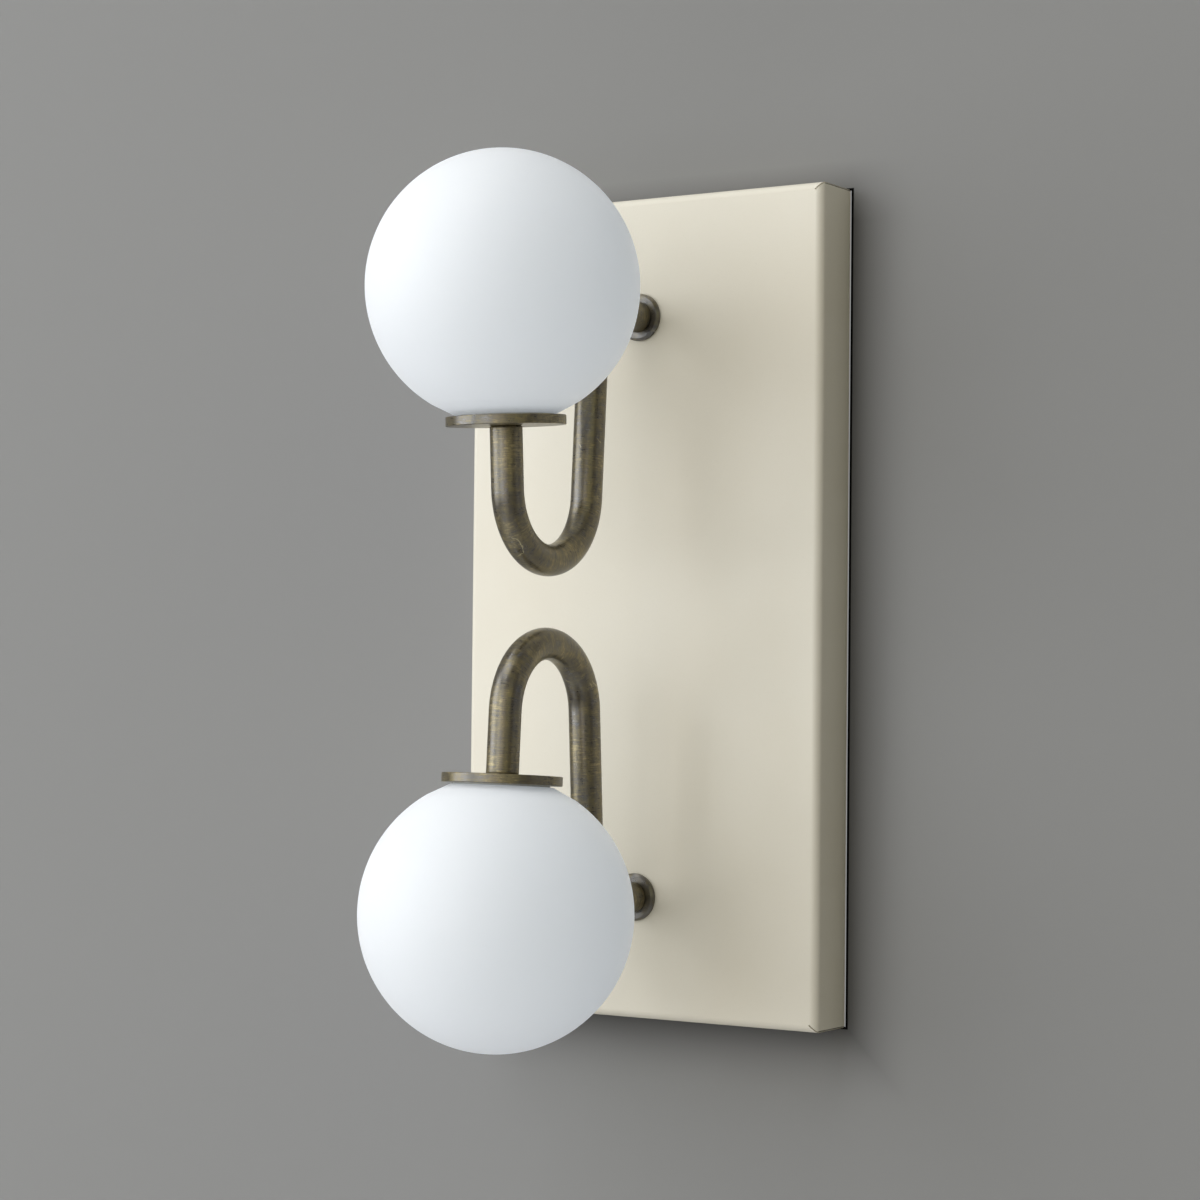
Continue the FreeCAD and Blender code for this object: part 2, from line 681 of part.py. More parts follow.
def make_earth():
    """Earth screw in the bracket, the ring terminal under its head and the lead to the block."""
    head_seat = size.bracket_sheet + size.lug_thickness
    body = screw("earth_screw", size.earth_screw_diameter, size.earth_screw_head,
                 size.earth_screw_head_height, head_seat)
    spot_text = f"{(-size.earth_across).text}; {(-head_seat).text}; {size.earth_height.text}"
    finish(body, f"placement(vector({spot_text}); rotation(vector(1; 0; 0); {QUARTER_TURN}))")
    lug = new_body("earth_lug")
    eye = new_sketch(lug, "XY_Plane", "Eye")
    draw_circle(eye, (0, 0), size.earth_screw_head / 2)
    pad(lug, eye, size.lug_thickness, "EyePad")
    lead_radius = size.earth_lead_diameter / 2
    barrel_start = size.earth_screw_head / 2 + lead_radius
    axis_height = size.earth_lead_stand_off - size.bracket_sheet
    neck = new_sketch(lug, "XY_Plane", "Neck")
    draw_rectangle(neck, (as_size(0), barrel_start / 2 + lead_radius), size.earth_lead_diameter,
                   barrel_start + size.earth_lead_diameter)
    pad(lug, neck, size.lug_thickness, "NeckPad")
    riser = new_sketch(lug, "XY_Plane", "Riser")
    draw_rectangle(riser, (as_size(0), barrel_start + lead_radius), size.earth_lead_diameter,
                   size.earth_lead_diameter)
    pad(lug, riser, axis_height, "RiserPad")
    barrel = new_sketch(lug, "XZ_Plane", "Barrel", -barrel_start)
    draw_circle(barrel, (0, axis_height), lead_radius + size.lug_thickness / 2)
    pad(lug, barrel, size.lug_barrel_length, "BarrelPad", backwards=True)
    hole = new_sketch(lug, "XY_Plane", "Hole")
    draw_circle(hole, (0, 0), size.earth_screw_diameter / 2 + size.screw_clearance)
    cut_through(lug, hole, "HoleCut")
    lug_text = f"{(-size.earth_across).text}; {(-size.bracket_sheet).text}; {size.earth_height.text}"
    finish(lug, f"placement(vector({lug_text}); rotation(vector(1; 0; 0); {QUARTER_TURN}))")
    make_earth_lead(size.earth_height + barrel_start + size.lug_barrel_length)


def make_earth_lead(start_height):
    """Earth lead from the ring terminal up to the outer pole of the terminal block, in an easy S."""
    body = new_body("earth_lead")
    end_height = size.terminal_centre - size.terminal_height / 2
    start = (-size.earth_across, start_height)
    finish_point = (-size.terminal_pitch, end_height)
    shift = size.earth_across - size.terminal_pitch
    rise = end_height - start_height
    radius = (shift * shift + rise * rise) / (4 * shift)
    middle = ((start[0] + finish_point[0]) / 2, (start_height + end_height) / 2)
    path = new_sketch(body, "XZ_Plane", "Path")
    draw_chain(path, [start, middle, finish_point],
               {0: ((start[0] + radius, start_height), -1), 1: ((finish_point[0] - radius, end_height), 1)},
               closed=False)
    section = new_sketch(body, "XY_Plane", "Section", start_height)
    draw_circle(section, (start[0], 0), size.earth_lead_diameter / 2)
    sweep(body, section, path, 2)
    stand_off = (-size.earth_lead_stand_off).text
    finish(body, f"placement(vector(0; {stand_off}; 0); rotation(vector(0; 0; 1); 0))")


def sweep(body, section, path, runs):
    """Carry a section along a sketched path of so many runs."""
    feature = body.newObject("PartDesign::AdditivePipe", "Sweep")
    feature.Profile = section
    feature.Spine = (path, [f"Edge{number}" for number in range(1, runs + 1)])
    return feature


# ---------------------------------------------------------------- arms


def arm_bends(first):
    """The arm's elbow and U bend, for a centre line whose elbow leaves the corner numbered first."""
    return {first: (elbow_centre, 1), first + 2: (bend_centre, -1)}


def make_arm(name, lower):
    """Bent brass tube: stub, elbow, rear leg, U bend and front leg, tapped and bevelled at both ends."""
    body = new_body(name)
    section = new_sketch(body, "XY_Plane", "Section", size.collar_thickness)
    draw_circle(section, (0, 0), tube_radius)
    draw_circle(section, (0, 0), tube_bore)
    path = new_sketch(body, "YZ_Plane", "CentreLine")
    corners = [(0, size.collar_thickness), elbow_start, rear_top, rear_foot, front_foot, leg_end]
    draw_chain(path, corners, arm_bends(1), closed=False)
    tube = sweep(body, section, path, len(corners) - 1)
    ends = (Vector(0, 0, size.collar_thickness.value), Vector(0, leg_end[0].value, leg_end[1].value))
    ease(body, tube, lambda edge: rings_an_end(edge, ends, tube_radius.value), size.tube_end_bevel,
         "Chamfer")
    tapped = nipple_radius + size.screw_clearance
    bores = new_sketch(body, "YZ_Plane", "TappedStub")
    mouth = size.collar_thickness - CLEAR_OUTSIDE
    bottom = size.collar_thickness + size.tapped_depth
    draw_chain(bores, [(0, mouth), (tapped, mouth), (tapped, bottom), (0, bottom)])
    spin(body, bores, "Groove")
    leg_bore = new_sketch(body, "YZ_Plane", "TappedLeg")
    along = (lean_cosine, lean_sine)
    aside = (-lean_sine, lean_cosine)
    corners = []
    for travel, radius in ((CLEAR_OUTSIDE, 0), (CLEAR_OUTSIDE, tapped), (-size.tapped_depth, tapped),
                           (-size.tapped_depth, 0)):
        corners.append(tuple(leg_end[part] + along[part] * travel + aside[part] * radius
                             for part in (0, 1)))
    draw_chain(leg_bore, corners)
    drill = body.newObject("PartDesign::Groove", "TappedLegCut")
    drill.Profile = leg_bore
    drill.ReferenceAxis = (leg_bore, ["Edge4"])
    drill.Angle = 2 * HALF_TURN
    finish(body, placed(as_size(0), as_size(0), QUARTER_TURN, lower))


def rings_an_end(edge, ends, radius):
    """Whether an edge is the outside ring at one of the tube's ends."""
    if not spans_radius(edge, radius):
        return False
    return any((edge.Curve.Center - end).Length < TOUCH for end in ends)


def make_lead(name, lower):
    """Two-core lead from the terminal block, through the nipple and the arm, to the lamp holder."""
    body = new_body(name)
    if lower:
        block_face = size.terminal_centre - size.terminal_height / 2
        start_rise = -(block_face + arm_height)
    else:
        start_rise = size.terminal_centre + size.terminal_height / 2 - arm_height
    tail_reach = -(2 * size.lead_bend)
    beyond = disc_top + size.carrier_ledge
    end = (leg_end[0] + beyond * lean_cosine, leg_end[1] + beyond * lean_sine)
    corners = [(start_rise, tail_reach), (-size.lead_bend, tail_reach), (0, -size.lead_bend), elbow_start,
               rear_top, rear_foot, front_foot, end]
    bends = arm_bends(3)
    bends[1] = ((-size.lead_bend, -size.lead_bend), 1)
    path = new_sketch(body, "YZ_Plane", "CentreLine")
    draw_chain(path, corners, bends, closed=False)
    section = new_sketch(body, "XZ_Plane", "Section", -start_rise)
    draw_circle(section, (0, tail_reach), size.lead_diameter / 2)
    sweep(body, section, path, len(corners) - 1)
    finish(body, placed(as_size(0), as_size(0), QUARTER_TURN, lower))


def nut(name, place, low):
    """A thin hexagon nut, its corners turned off on both faces."""
    body = new_body(name)
    sketch = new_sketch(body, "XY_Plane", "Hexagon", low)
    draw_hexagon(sketch, size.nut_across)
    draw_circle(sketch, (0, 0), nipple_radius + size.screw_clearance)
    pad(body, sketch, size.nut_height)
    corner = size.nut_across / 2 * HEX_CORNER
    flat = size.nut_across / 2
    drop = (corner - flat) / 2
    high = low + size.nut_height
    for label, face, inward in (("LowBevel", low, 1), ("HighBevel", high, -1)):
        bevel = new_sketch(body, "XZ_Plane", label)
        draw_chain(bevel, [(flat, face), (corner + drop, face - inward * drop),
                           (corner + drop, face + inward * (drop * 2))])
        spin(body, bevel, "Groove")
    finish(body, place)


def make_fixings(prefix, lower):
    """What holds an arm to the cover: collar, nipple, toothed washer and nut."""
    place = placed(as_size(0), as_size(0), QUARTER_TURN, lower)
    body, block = ring(prefix + "collar", nipple_hole, size.collar_diameter / 2, as_size(0),
                       size.collar_thickness)
    ease(body, block, lambda edge: lies_at(edge, "Z", size.collar_thickness.value)
         and spans_radius(edge, size.collar_diameter.value / 2), size.collar_bevel, "Chamfer")
    finish(body, place)
    washer_back = -(size.cover_sheet + size.washer_thickness)
    nut_back = washer_back - size.nut_height
    nipple, _ = ring(prefix + "fixing_nipple", size.nipple_bore / 2, nipple_radius,
                     nut_back - size.nipple_tail, size.collar_thickness + size.nipple_grip)
    finish(nipple, place)
    make_lock_washer(prefix + "lock_washer", place, washer_back)
    nut(prefix + "fixing_nut", place, nut_back)


def make_lock_washer(name, place, low):
    """Lock washer with teeth round its rim, cut one by one round the circle."""
    rim = size.washer_diameter / 2
    body, _ = ring(name, nipple_hole, rim, low, low + size.washer_thickness)
    notch = new_sketch(body, "XY_Plane", "Notch", low + size.washer_thickness)
    width = rim * (2 * math.pi / WASHER_TEETH * TOOTH_FILL)
    draw_rectangle(notch, (rim, as_size(0)), 2 * size.washer_tooth, width)
    cut = cut_down(body, notch, size.washer_thickness, "NotchCut")
    pattern = body.newObject("PartDesign::PolarPattern", "Teeth")
    pattern.Originals = [cut]
    pattern.Axis = (notch, ["N_Axis"])
    pattern.Angle = 2 * HALF_TURN
    pattern.Occurrences = WASHER_TEETH
    body.Tip = pattern
    finish(body, place)


# ---------------------------------------------------------------- heads

disc_top = size.disc_thickness
carrier_radius = size.carrier_diameter / 2
ledge_top = disc_top + size.carrier_ledge
holder_top = ledge_top + size.holder_height
neck_bore = carrier_radius + size.thread_clearance
neck_radius = neck_bore + size.neck_wall
globe_foot = disc_top + size.seal_thickness
globe_radius = size.globe_diameter / 2
globe_rim = neck_radius + size.globe_foot_ledge
globe_centre = globe_foot + root(globe_radius * globe_radius - globe_rim * globe_rim)
base_foot = holder_top + size.bulb_seat
base_top = base_foot + size.bulb_base_height
holder_screw_offset = (size.holder_breadth + size.holder_screw_head) / 2 + size.holder_clearance


def make_head(prefix, lower):
    """All that stands on the end of an arm, about the front leg's axis from the disc's face."""
    place = placed(leg_end[0], leg_end[1], size.leg_splay, lower)
    make_disc(prefix + "disc", place)
    nut_seat = disc_top + size.carrier_floor
    nipple, _ = ring(prefix + "head_nipple", size.nipple_bore / 2, nipple_radius, -size.nipple_grip,
                     nut_seat + size.nut_height + size.head_nipple_tail)
    finish(nipple, place)
    nut(prefix + "head_nut", place, nut_seat)
    make_carrier(prefix + "shade_carrier", place)
    make_lamp_holder(prefix, place)
    make_bulb(prefix, place)
    make_globe(prefix, place)


def make_disc(name, place):
    """Round brass disc with softened edges and a plain hole for the nipple."""
    body, block = ring(name, nipple_hole, size.disc_diameter / 2, as_size(0), disc_top)
    ease(body, block, lambda edge: spans_radius(edge, size.disc_diameter.value / 2), size.disc_edge)
    finish(body, place)


def make_carrier(name, place):
    """Turned cup under the globe: outside it takes the globe's neck, inside a ledge carries the holder."""
    body = new_body(name)
    floor = disc_top + size.carrier_floor
    top = disc_top + size.carrier_height
    holder_bore = size.holder_diameter / 2 + size.holder_clearance
    nut_bore = size.carrier_nut_bore / 2
    profile = new_sketch(body, "XZ_Plane", "Profile")
    draw_chain(profile, [(nipple_hole, disc_top), (carrier_radius, disc_top), (carrier_radius, top),
                         (holder_bore, top), (holder_bore, ledge_top), (nut_bore, ledge_top),
                         (nut_bore, floor), (nipple_hole, floor)])
    spin(body, profile)
    tapped = new_sketch(body, "XY_Plane", "TappedHoles", ledge_top)
    for up in SIDES:
        draw_circle(tapped, (0, up * holder_screw_offset),
                    size.holder_screw_diameter / 2 + size.screw_clearance)
    cut_down(body, tapped, size.holder_screw_length - size.holder_flange + size.screw_clearance, "Tapping")
    finish(body, place)


def make_lamp_holder(prefix, place):
    """Ceramic two-pin lamp holder: a screwed-down flange and a block with two pin slots."""
    body = new_body(prefix + "lamp_holder")
    flange = new_sketch(body, "XY_Plane", "Flange", ledge_top)
    draw_circle(flange, (0, 0), size.holder_diameter / 2)
    pad(body, flange, size.holder_flange, "FlangePad")
    block = new_sketch(body, "XY_Plane", "Block", ledge_top)
    draw_rectangle(block, (as_size(0), as_size(0)), size.holder_width, size.holder_breadth)
    pad(body, block, size.holder_height, "BlockPad")
    slots = new_sketch(body, "XY_Plane", "PinSlots", holder_top)
    for across in SIDES:
        draw_rectangle(slots, (across * size.pin_spacing / 2, as_size(0)),
                       size.pin_width + 2 * size.pin_clearance, size.pin_thickness + 2 * size.pin_clearance)
    cut_down(body, slots, size.pin_slot_depth, "PinSlotsCut")
    screw_holes = new_sketch(body, "XY_Plane", "ScrewHoles", ledge_top + size.holder_flange)
    for up in SIDES:
        draw_circle(screw_holes, (0, up * holder_screw_offset),
                    size.holder_screw_diameter / 2 + size.screw_clearance)
    cut_down(body, screw_holes, size.holder_flange, "ScrewHolesCut")
    finish(body, place)
    fixing = screw(prefix + "holder_screw", size.holder_screw_diameter, size.holder_screw_head,
                   size.holder_screw_head_height, size.holder_screw_length)
    bind(fixing, "Placement.Base.y", holder_screw_offset)
    bind(fixing, "Placement.Base.z", ledge_top + size.holder_flange)
    group(prefix + "lamp_holder_screws", fixing, Vector(0, 1, 0), place)


def make_bulb(prefix, place):
    """Two-pin lamp: hollow domed envelope, base and a pair of looped pins."""
    radius = size.bulb_diameter / 2
    inside = radius - size.bulb_wall
    dome = base_foot + size.bulb_length - radius
    envelope = new_body(prefix + "bulb_envelope")
    profile = new_sketch(envelope, "XZ_Plane", "Profile")
    draw_chain(profile, [(inside, base_top), (radius, base_top), (radius, dome), (0, dome + radius),
                         (0, dome + inside), (inside, dome)],
               {2: ((0, dome), 1), 4: ((0, dome), -1)})
    spin(envelope, profile)
    finish(envelope, place)
    base = new_body(prefix + "bulb_base")
    round_end = new_sketch(base, "XY_Plane", "Round", base_foot)
    draw_circle(round_end, (0, 0), radius)
    pad(base, round_end, size.bulb_base_height)
    finish(base, place)
    pins = new_body(prefix + "bulb_pin")
    sketch = new_sketch(pins, "XY_Plane", "Section", base_foot)
    draw_rectangle(sketch, (as_size(0), as_size(0)), size.pin_width, size.pin_thickness)
    shank = pad(pins, sketch, size.pin_length, backwards=True)
    ease(pins, shank, lambda edge: lies_at(edge, "Z", (base_foot - size.pin_length).value)
         and edge.BoundBox.YLength > TOUCH, size.pin_round)
    bind(pins, "Placement.Base.x", size.pin_spacing / 2)
    group(prefix + "bulb_pins", pins, Vector(1, 0, 0), place)


def make_globe(prefix, place):
    """Opal glass globe, flat and softly rounded at its foot, with a threaded neck turned inwards."""
    inside = globe_radius - size.globe_wall
    neck_root = globe_centre - root(inside * inside - neck_radius * neck_radius)
    neck_top = globe_foot + size.neck_height
    body = new_body(prefix + "globe")
    profile = new_sketch(body, "XZ_Plane", "Profile")
    draw_chain(profile, [(neck_bore, globe_foot), (globe_rim, globe_foot), (0, globe_centre + globe_radius),
                         (0, globe_centre + inside), (neck_radius, neck_root), (neck_radius, neck_top),
                         (neck_bore, neck_top)],
               {1: ((0, globe_centre), 1), 3: ((0, globe_centre), -1)})
    blown = spin(body, profile)
    ease(body, blown, lambda edge: lies_at(edge, "Z", globe_foot.value)
         and spans_radius(edge, globe_rim.value), size.globe_rim_round)
    finish(body, place)
    seal, _ = ring(prefix + "globe_seal", neck_bore, neck_bore + size.seal_width, disc_top, globe_foot)
    finish(seal, place)


# ---------------------------------------------------------------- build, check and write


def build():
    """Make every sub-part of the light."""
    make_cover()
    make_bracket()
    make_cover_screws()
    make_grommet()
    make_terminal_block()
    make_earth()
    for prefix, lower in (("upper_", False), ("lower_", True)):
        make_fixings(prefix, lower)
        make_arm(prefix + "arm", lower)
        make_lead(prefix + "lead", lower)
        make_head(prefix, lower)
    document.recompute()


def check():
    """Stop if any object failed or any sub-part isn't a valid solid."""
    for item in document.Objects:
        if "Invalid" in item.State or "Error" in item.State:
            raise RuntimeError(f"{item.Label} did not rebuild: {item.State}")
    for piece in pieces:
        if piece.Shape.isNull() or not piece.Shape.isValid() or not piece.Shape.Solids:
            raise RuntimeError(f"{piece.Label} is not a valid solid")


def write():
    """Write each sub-part to its own file."""
    os.makedirs("parts", exist_ok=True)
    for piece in pieces:
        piece.Shape.exportStep(f"parts/{piece.Label}.step")
        print(f"{piece.Label:28s} {len(piece.Shape.Solids)} solid(s) {piece.Shape.Volume:12.2f} mm3")


build()
check()
write()
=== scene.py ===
"""Looks of the double arm wall sconce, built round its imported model.

Metres. +Z is up, the wall is the plane Y = 0 and the light faces -Y. Each head stands on an axis of
its own, read from the frame's joints, and heights along it start at the end of the arm's tube.
"""

import json
import math

import bmesh
import bpy
import numpy as np
from mathutils import Matrix, Vector


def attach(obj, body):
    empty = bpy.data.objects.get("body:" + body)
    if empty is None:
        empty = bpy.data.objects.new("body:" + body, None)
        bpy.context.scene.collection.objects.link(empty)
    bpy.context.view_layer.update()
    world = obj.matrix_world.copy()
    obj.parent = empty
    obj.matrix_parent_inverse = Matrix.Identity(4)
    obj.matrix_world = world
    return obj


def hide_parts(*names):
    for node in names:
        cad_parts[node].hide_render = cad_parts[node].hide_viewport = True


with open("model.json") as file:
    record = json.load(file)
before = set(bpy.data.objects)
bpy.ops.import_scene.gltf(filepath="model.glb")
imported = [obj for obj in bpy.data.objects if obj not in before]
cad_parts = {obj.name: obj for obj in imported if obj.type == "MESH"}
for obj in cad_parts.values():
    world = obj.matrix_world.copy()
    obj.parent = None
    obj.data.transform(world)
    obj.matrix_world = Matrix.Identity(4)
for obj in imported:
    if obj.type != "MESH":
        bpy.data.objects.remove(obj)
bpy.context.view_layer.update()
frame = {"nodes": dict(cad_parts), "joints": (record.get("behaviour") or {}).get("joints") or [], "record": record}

MM = 0.001

# Points round a turned piece and along an eased edge, how far the support points stand off, the
# usual easing of a sharp edge, and how near two points are merged.
ROUND = 96
EDGE_STEPS = 6
SUPPORT = 0.02 * MM
EASED = 0.1 * MM
MERGED = 0.0001 * MM

ARM_HOLE_HEIGHT = 113 * MM
COVER_FRONT = -24 * MM
COVER_SIDE = 80 * MM
COVER_TOP = 160 * MM
COLLAR_THICKNESS = 2 * MM
COLLAR_RADIUS = 9.2 * MM
COLLAR_BEVEL = 0.9 * MM
NIPPLE_HOLE = 5.3 * MM

TUBE_RADIUS = 6 * MM
TUBE_BORE = 4.5 * MM
TUBE_BEVEL = 0.5 * MM
TAPPED_RADIUS = 5.1 * MM
TAPPED_DEPTH = 8 * MM
BEND_RADIUS = 26.5 * MM
BEND_CENTRE = np.array([-88.0, 42.0]) * MM
ELBOW_HEIGHT = ARM_HOLE_HEIGHT - BEND_RADIUS
FRONT_LEG = 23 * MM
ELBOW_POINTS = 900
U_BEND_POINTS = 1800
LINE_STEP = 0.1 * MM
TUBE_STATIONS = 170

DISC_RADIUS = 22 * MM
DISC_THICKNESS = 3.5 * MM
DISC_EDGE = 0.3 * MM
DISC_STEP = 0.7 * MM

CARRIER_RADIUS = 14.3 * MM
CARRIER_TOP = 13.5 * MM
CARRIER_FLOOR = 5 * MM
CARRIER_LEDGE = 9.5 * MM
CARRIER_NUT_BORE = 9 * MM
HOLDER_BORE = 11.3 * MM
CARRIER_EDGE = 0.15 * MM
CARRIER_STEP = 0.2 * MM
THREAD_PITCH = 3 * MM
THREAD_DEPTH = 0.22 * MM
THREAD_FADE = 1 * MM

GLOBE_RADIUS = 49.98 * MM
GLASS = 3 * MM
GLOBE_FOOT = 4 * MM
GLOBE_CENTRE = 50.4 * MM
GLOBE_RIM = 18.63 * MM
FOOT_ROUND = 0.8 * MM
NECK_RADIUS = 17.6 * MM
NECK_BORE = 14.6 * MM
NECK_TOP = 13 * MM
NECK_EDGE = 0.3 * MM
NECK_STEP = 0.25 * MM
INSIDE_POINTS = 80
OUTSIDE_POINTS = 120
FOOT_POINTS = 8

# Shifts along a piece's own space, so that upper and lower brass differ in patina. The collars lie
# a whole unit below zero, where the brass is darker.
UPPER_SHIFT = 0.0
LOWER_SHIFT = 0.37
COLLAR_SHIFT = -1.0

# The painted shadow in the seam at the ends of the side flanges: where it fades in, measured from
# the cover's ends, how far its line wanders in millimetres, how dark it is, and where it fades in
# from the side.
SEAM_FADE = (0.75 * MM, 0.6 * MM)
SEAM_WANDER = 0.25
SEAM_SHADOW_DARKNESS = 0.85
SIDE_FADE = (0.12 * MM, 0.05 * MM)


# ---------------------------------------------------------------- surfaces


def skin(name, points, own, loop=False):
    """Join a grid of points into a mesh: rows run along the piece, columns close round it.

    With loop, the last row joins the first. Rows that meet in one point are merged into a pole. The
    attribute own holds each point's place in the piece's own straightened space.
    """
    rows, columns = points.shape[:2]
    index = np.arange(rows * columns).reshape(rows, columns)
    if loop:
        index = np.vstack([index, index[:1]])
    index = np.hstack([index, index[:, :1]])
    quads = np.stack([index[:-1, :-1], index[:-1, 1:], index[1:, 1:], index[1:, :-1]], -1)
    mesh = bpy.data.meshes.new(name)
    mesh.from_pydata(points.reshape(-1, 3), [], quads.reshape(-1, 4).tolist())
    mesh.attributes.new("own", "FLOAT_VECTOR", "POINT").data.foreach_set("vector", own.ravel())
    shell = bmesh.new()
    shell.from_mesh(mesh)
    bmesh.ops.remove_doubles(shell, verts=shell.verts, dist=MERGED)
    bmesh.ops.recalc_face_normals(shell, faces=shell.faces)
    shell.to_mesh(mesh)
    shell.free()
    mesh.shade_smooth()
    piece = bpy.data.objects.new(name, mesh)
    bpy.context.scene.collection.objects.link(piece)
    return piece


def rounded(corners, rounds, closed=True):
    """A profile through corners, each eased by an arc of its own radius.

    Each arc is centre + radius (cos a, sin a) between its tangent points, and a support point
    stands just outside each end of it, so that the flats beside it shade flat.
    """
    corners = np.array(corners, float)
    count = len(corners)
    stretches = []
    for number, radius in enumerate(rounds):
        corner = corners[number]
        if not closed and number in (0, count - 1):
            stretches.append(corner[None])
            continue
        before = corners[number - 1] - corner
        after = corners[(number + 1) % count] - corner
        before /= np.linalg.norm(before)
        after /= np.linalg.norm(after)
        half = math.acos(np.clip(before @ after, -1, 1)) / 2
        reach = radius / math.tan(half)
        inward = (before + after) / np.linalg.norm(before + after)
        centre = corner + inward * radius / math.sin(half)
        first = corner + before * reach - centre
        last = corner + after * reach - centre
        start = math.atan2(first[1], first[0])
        turn = (math.atan2(last[1], last[0]) - start + math.pi) % (2 * math.pi) - math.pi
        angles = start + turn * np.linspace(0, 1, EDGE_STEPS)
        bend = centre + radius * np.stack([np.cos(angles), np.sin(angles)], -1)
        stretches.append((corner + before * (reach + SUPPORT))[None])
        stretches.append(bend)
        stretches.append((corner + after * (reach + SUPPORT))[None])
    return np.vstack(stretches)


def arc(centre, radius, first, last, count):
    """Points on a circle: centre + radius (cos a, sin a), with a from first to last in degrees."""
    angles = np.radians(np.linspace(first, last, count))
    return np.array(centre) + radius * np.stack([np.cos(angles), np.sin(angles)], -1)


def divided(profile, step):
    """The same profile with its long runs cut into lengths of about step."""
    lengths = np.r_[0, np.cumsum(np.linalg.norm(np.diff(profile, axis=0), axis=1))]
    between = np.linspace(0, lengths[-1], int(lengths[-1] / step) + 2)
    places = np.unique(np.round(np.r_[lengths, between], 8))
    return np.stack([np.interp(places, lengths, profile[:, side]) for side in (0, 1)], -1)


def turned(name, profile, foot, axis, loop=True, groove=None, shift=0.0):
    """Turn a profile of radius and height about an axis.

    Each point is foot + height axis + radius (cos a u + sin a v), with u and v square to the axis.
    groove takes radius, height and angle, and gives how far the surface is moved outwards.
    """
    axis = np.array(axis, float) / np.linalg.norm(axis)
    across = np.array([1.0, 0.0, 0.0])
    along = np.cross(axis, across)
    angles = np.linspace(0, 2 * math.pi, ROUND, endpoint=False)
    radius = np.repeat(profile[:, :1], ROUND, 1)
    height = np.repeat(profile[:, 1:], ROUND, 1)
    if groove is not None:
        radius = radius + groove(radius, height, angles[None, :])
    cosine, sine = np.cos(angles)[None, :], np.sin(angles)[None, :]
    outward = cosine[..., None] * across + sine[..., None] * along
    points = np.array(foot) + height[..., None] * axis + radius[..., None] * outward
    own = np.stack([radius * cosine, radius * sine, height + shift], -1)
    return skin(name, points, own, loop)


def arm_line(side):
    """The arm's centre line in the plane X = 0, as closely spaced points from its stub to its disc.

    Straight stub, elbow, rear leg, U bend and front leg; each bend is centre + radius (cos a,
    sin a). The legs lean by the head's own angle, and side is +1 for the upper arm and -1 for the
    lower, which is the upper one's mirror image.
    """
    lean = math.atan2(-head_axis["upper"][1], head_axis["upper"][2])
    rise = ELBOW_HEIGHT - BEND_CENTRE[1]
    elbow_across = BEND_CENTRE[0] + (2 * BEND_RADIUS + rise * math.sin(lean)) / math.cos(lean)
    degrees = math.degrees(lean)
    stub = np.array([[COVER_FRONT - COLLAR_THICKNESS, ARM_HOLE_HEIGHT]])
    elbow_centre = (elbow_across, ELBOW_HEIGHT)
    elbow = arc(elbow_centre, BEND_RADIUS, 90, 180 - degrees, ELBOW_POINTS)
    u_bend = arc(BEND_CENTRE, BEND_RADIUS, -degrees, degrees - 180, U_BEND_POINTS)
    tip = u_bend[-1:] + FRONT_LEG * np.array([-math.sin(lean), math.cos(lean)])
    line = np.vstack([stub, elbow, u_bend, tip])
    line[:, 1] *= side
    return divided(line, LINE_STEP)


def bent_tube(name, line, shift):
    """Carry a hollow round section along a line, out along the outside and back along the bore.

    Each point is centre + r (cos a n + sin a x), with n square to the line in its own plane. The
    ends are bevelled outside and tapped inside.
    """
    lengths = np.r_[0, np.cumsum(np.linalg.norm(np.diff(line, axis=0), axis=1))]
    whole = lengths[-1]
    even = np.linspace(TUBE_BEVEL * 2, whole - TUBE_BEVEL * 2, TUBE_STATIONS)
    ends = np.array([0, SUPPORT, TUBE_BEVEL - SUPPORT, TUBE_BEVEL + SUPPORT])
    outside = np.r_[ends, even, whole - ends[::-1]]
    nearest_end = np.minimum(outside, whole - outside)
    outer = TUBE_RADIUS - np.clip(TUBE_BEVEL - nearest_end, 0, TUBE_BEVEL)
    tapped = np.array([0, TAPPED_DEPTH - SUPPORT, TAPPED_DEPTH + SUPPORT])
    plain = even[(even > tapped[-1]) & (even < whole - tapped[-1])]
    inside = np.r_[tapped, plain, whole - tapped[::-1]][::-1]
    inner = np.where(np.minimum(inside, whole - inside) < TAPPED_DEPTH, TAPPED_RADIUS, TUBE_BORE)
    stations = np.r_[outside, inside]
    radii = np.r_[outer, inner]
    centre = np.stack([np.interp(stations, lengths, line[:, part]) for part in (0, 1)], -1)
    slope = np.gradient(line, lengths, axis=0)
    heading = np.stack([np.interp(stations, lengths, slope[:, part]) for part in (0, 1)], -1)
    heading /= np.linalg.norm(heading, axis=1, keepdims=True)
    normal = np.stack([heading[:, 1], -heading[:, 0]], -1)
    angles = np.linspace(0, 2 * math.pi, ROUND, endpoint=False)
    cosine, sine = np.cos(angles)[None, :], np.sin(angles)[None, :]
    spread = radii[:, None] * cosine
    points = np.stack([radii[:, None] * sine, centre[:, :1] + spread * normal[:, :1],
                       centre[:, 1:] + spread * normal[:, 1:]], -1)
    along = np.repeat(stations[:, None], ROUND, 1) + shift
    own = np.stack([spread, radii[:, None] * sine, along], -1)
    return skin(name, points, own, loop=True)


# ---------------------------------------------------------------- finishes


